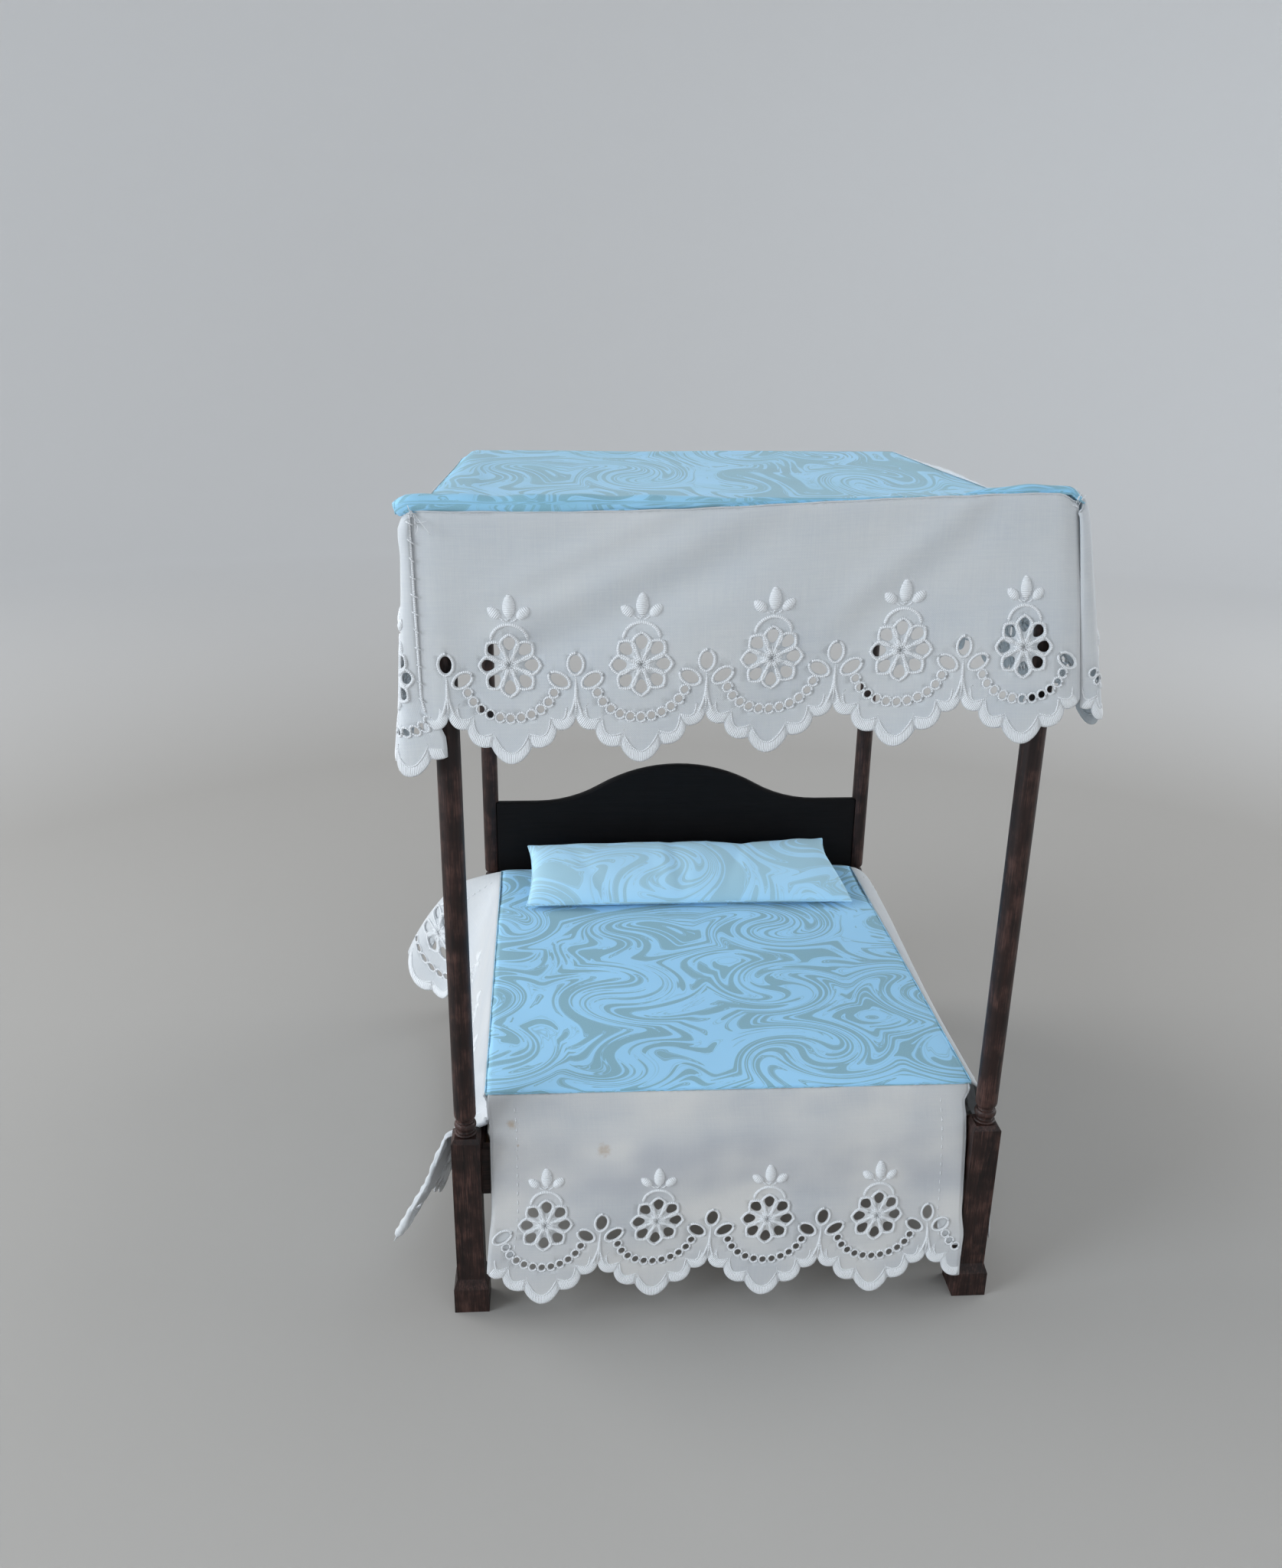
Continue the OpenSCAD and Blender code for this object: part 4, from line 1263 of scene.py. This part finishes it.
def dress_wood():
    """Finishes of the wooden and metal parts, which keep their CAD shapes."""
    walnut = (0.0055, 0.0026, 0.0023)
    rail_light = (0.026, 0.011, 0.008)
    raw = ((0.42, 0.27, 0.15), (0.62, 0.44, 0.27))
    posts = wood("walnut_posts", walnut, (0.028, 0.0115, 0.0085), 2, 0.36, wear=0.9)
    cross_rails = wood("walnut_cross_rails", walnut, rail_light, 0, 0.4, wear=0.5)
    side_rails = wood("walnut_side_rails", walnut, rail_light, 1, 0.4, wear=0.5)
    finishes = {
        "post": posts,
        "headboard": wood("headboard_stain", (0.0018, 0.0017, 0.0021), (0.0040, 0.0032, 0.0034),
                          0, 0.45, 0.25, shine=0.14),
        "head_rail": cross_rails, "foot_rail": cross_rails, "side_rail": side_rails,
        "slats": wood("raw_slats", *raw, 0, 0.6), "ledger": wood("raw_ledgers", *raw, 1, 0.6),
        "tester_rail_front": cross_rails, "tester_rail_back": cross_rails,
        "tester_rail_left": side_rails, "tester_rail_right": side_rails, "tester_pins": metal(),
    }
    for name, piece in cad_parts.items():
        for start, finish in finishes.items():
            if name.startswith(start):
                piece.data.materials.clear()
                piece.data.materials.append(finish)


def dress_bed():
    """Mattress, coverlet with its three lace drops, and pillow."""
    mattress(ticking(), lawn)
    top = panel("coverlet_print", PANEL_LOW, PANEL_HIGH, coverlet_height, print_top, "coverlet",
                "coverlet_panel", 0.45, askew)
    for place, drape, phase in (("front", front_drop(), 13.7), ("left", side_drop(-1), 0.6),
                                ("right", side_drop(1), 20.0)):
        hem_depth = drape.depth - 12
        cloth, needle = lace_strip(f"coverlet_lace_{place}", drape, phase,
                                   lawn_shaded_stained if place == "front" else lawn, "coverlet",
                                   f"coverlet_drop_{place}")
        parts = [needle,
                 side_hems(f"coverlet_hems_{place}", drape, hem_depth),
                 edge_folds(f"coverlet_fold_{place}", drape, hem_depth + 3),
                 stitch_rows(f"coverlet_stitches_{place}", drape, hem_depth),
                 seam_piping(f"coverlet_seam_{place}", drape, print_hem, "coverlet",
                             0.13)]
        if place == "left":
            parts.append(frayed_end(drape))
    pillow(print_pillow)


def frayed_end(drape):
    """The left drop's foot end has rolled into a thick frayed cord of cloth."""
    v = np.linspace(12, 50.5, 70)
    size = 0.75 + 0.3 * np.sin(v / 1.7) * np.sin(v / 0.9 + 1) + 0.25 * ease(v, 40, 49)
    s = 0.7 + 0.5 * np.sin(v / 2.6)
    path = drape.at(stacked(s, v, 0.2 * np.cos(v / 2.1)))
    return tubes("coverlet_end_roll_left", [path], [size], lawn, "coverlet", 10)


def dress_canopy():
    """Canopy panel, its rolled front hem and the four lace valances."""
    top = panel("canopy_print", CANOPY_LOW, CANOPY_HIGH, canopy_height, print_canopy, "canopy",
                "canopy_panel", 0.35)
    roll = rolled_hem(print_hem)
    hollow = hem_hollow(print_hem)
    drapes = {"front": valance_front(), "left": side_valance(-1), "right": side_valance(1),
              "back": valance_back()}
    phases = {"front": 19.9, "left": 8.0, "right": 12.5, "back": 16.0}
    for place, drape in drapes.items():
        cloth, needle = lace_strip(f"canopy_lace_{place}", drape, phases[place], lawn, "canopy",
                                   f"canopy_valance_{place}")
        swell = 0.45 if place == "right" else 0.0
        seam = seam_piping(f"canopy_seam_{place}", drape, lawn, "canopy", 0.2,
                           swell)
    front = drapes["front"]
    whip_stitches("canopy_corner_seam_left", front, drapes["left"])
    loose_threads("canopy_threads_left", front.at([(0.8, 0.4, 0.3), (0.8, 1.6, 0.3)]), 5, 4.0)
    loose_threads("canopy_threads_right", front.at([(front.length - 0.5, 1.0, 0.3)]), 6, 3.2)


# ------------------------------------ room
def floor():
    """A pale floor that curves up into a plain backdrop all round, well away from the bed."""
    n = Nodes("pale_floor")
    clouds = n.noise(n.object_space, (2.0, 2.0, 2.0), 2)
    reach = n.times(n.vector("LENGTH", n.object_space), 0.5)
    # painted light: the floor's colour brightens with distance and up the backdrop, making up for
    # the lamps' light that falls off out there
    painted_far_light = n.ramp(reach, [(0.2, 0.0), (0.56, 1.0)])
    ground = n.mix(clouds, (0.37, 0.355, 0.335), (0.40, 0.385, 0.365))
    n.set(Base_Color=n.mix(painted_far_light, ground, (0.84, 0.85, 0.86)), Roughness=0.7)
    reach, bend, rise, sides = 1100.0, 500.0, 500.0, 96     # flat part, curve and wall in mm
    profile = [(0, 0), (200, 0), (600, 0)]
    profile += [(reach + bend * math.sin(a), bend * (1 - math.cos(a)))
                for a in np.linspace(0, math.pi / 2, 13)]
    profile += [(reach + bend, bend + rise)]
    turn = np.linspace(0, 2 * math.pi, sides + 1)
    points = [(r * math.cos(a), r * math.sin(a), z) for a in turn for r, z in profile]
    sheet = make_mesh("floor", points, grid_faces(sides + 1, len(profile)), n.material)


def area_light(name, place, target, size, power, colour, spread=180):
    """A soft rectangular light at place, aimed at target, both in mm."""
    light = bpy.data.lights.new(name, "AREA")
    light.shape = "RECTANGLE"
    light.size, light.size_y = (s * MM for s in size)
    light.energy = power
    light.color = colour
    light.spread = math.radians(spread)
    lamp = bpy.data.objects.new(name, light)
    bpy.context.scene.collection.objects.link(lamp)
    lamp.location = Vector(place) * MM
    lamp.rotation_euler = (Vector(target) - Vector(place)).to_track_quat("-Z", "Y").to_euler()


def lights():
    """A large window on the left, soft fills, and lights that even out the backdrop."""
    middle = (0, 0, 100)
    area_light("window", (-1120, 420, 640), middle, (900, 800), 2.35, (0.97, 0.985, 1.0), 80)
    area_light("window_side", (-1050, -520, 420), middle, (600, 500), 2.1, (0.82, 0.91, 1.0), 80)
    area_light("room_fill", (350, -900, 380), middle, (900, 500), 0.8, (0.84, 0.92, 1.0), 100)
    area_light("right_fill", (1050, 250, 420), middle, (900, 500), 2.1, (0.92, 0.96, 1.0), 100)
    for k in range(4):
        turn = math.pi / 4 + k * math.pi / 2
        outward = Vector((math.cos(turn), math.sin(turn), 0))
        area_light(f"backdrop_{k}", outward * 450 + Vector((0, 0, 900)),
                   outward * 1600 + Vector((0, 0, 330)), (700, 400), 1.5, (0.94, 0.97, 1.0))
    world = bpy.data.worlds.new("studio")
    bpy.context.scene.world = world
    world.use_nodes = True
    background = world.node_tree.nodes["Background"]
    background.inputs["Color"].default_value = (0.80, 0.81, 0.82, 1)
    background.inputs["Strength"].default_value = 0.46


def camera():
    """A phone held in front of the bed, a little above it and to its left."""
    place = Vector((-40.58, -348.83, 237.72))
    yaw, pitch, roll = 0.06378, 0.37743, 0.01144     # radians, to the right, down and over
    data = bpy.data.cameras.new("camera")
    data.sensor_width = 36
    data.sensor_fit = "VERTICAL"
    data.sensor_height = 36
    data.lens = 29.75889
    data.shift_x = 0.00167
    data.shift_y = 0.033267
    eye = bpy.data.objects.new("camera", data)
    bpy.context.scene.collection.objects.link(eye)
    eye.matrix_world = (Matrix.Translation(place * MM) @ Matrix.Rotation(-yaw, 4, "Z")
                        @ Matrix.Rotation(math.pi / 2 - pitch, 4, "X")
                        @ Matrix.Rotation(roll, 4, "Z"))
    bpy.context.scene.camera = eye


bpy.context.scene.view_settings.view_transform = "Standard"
camera()
lights()
floor()
dress_wood()
dress_bed()
dress_canopy()
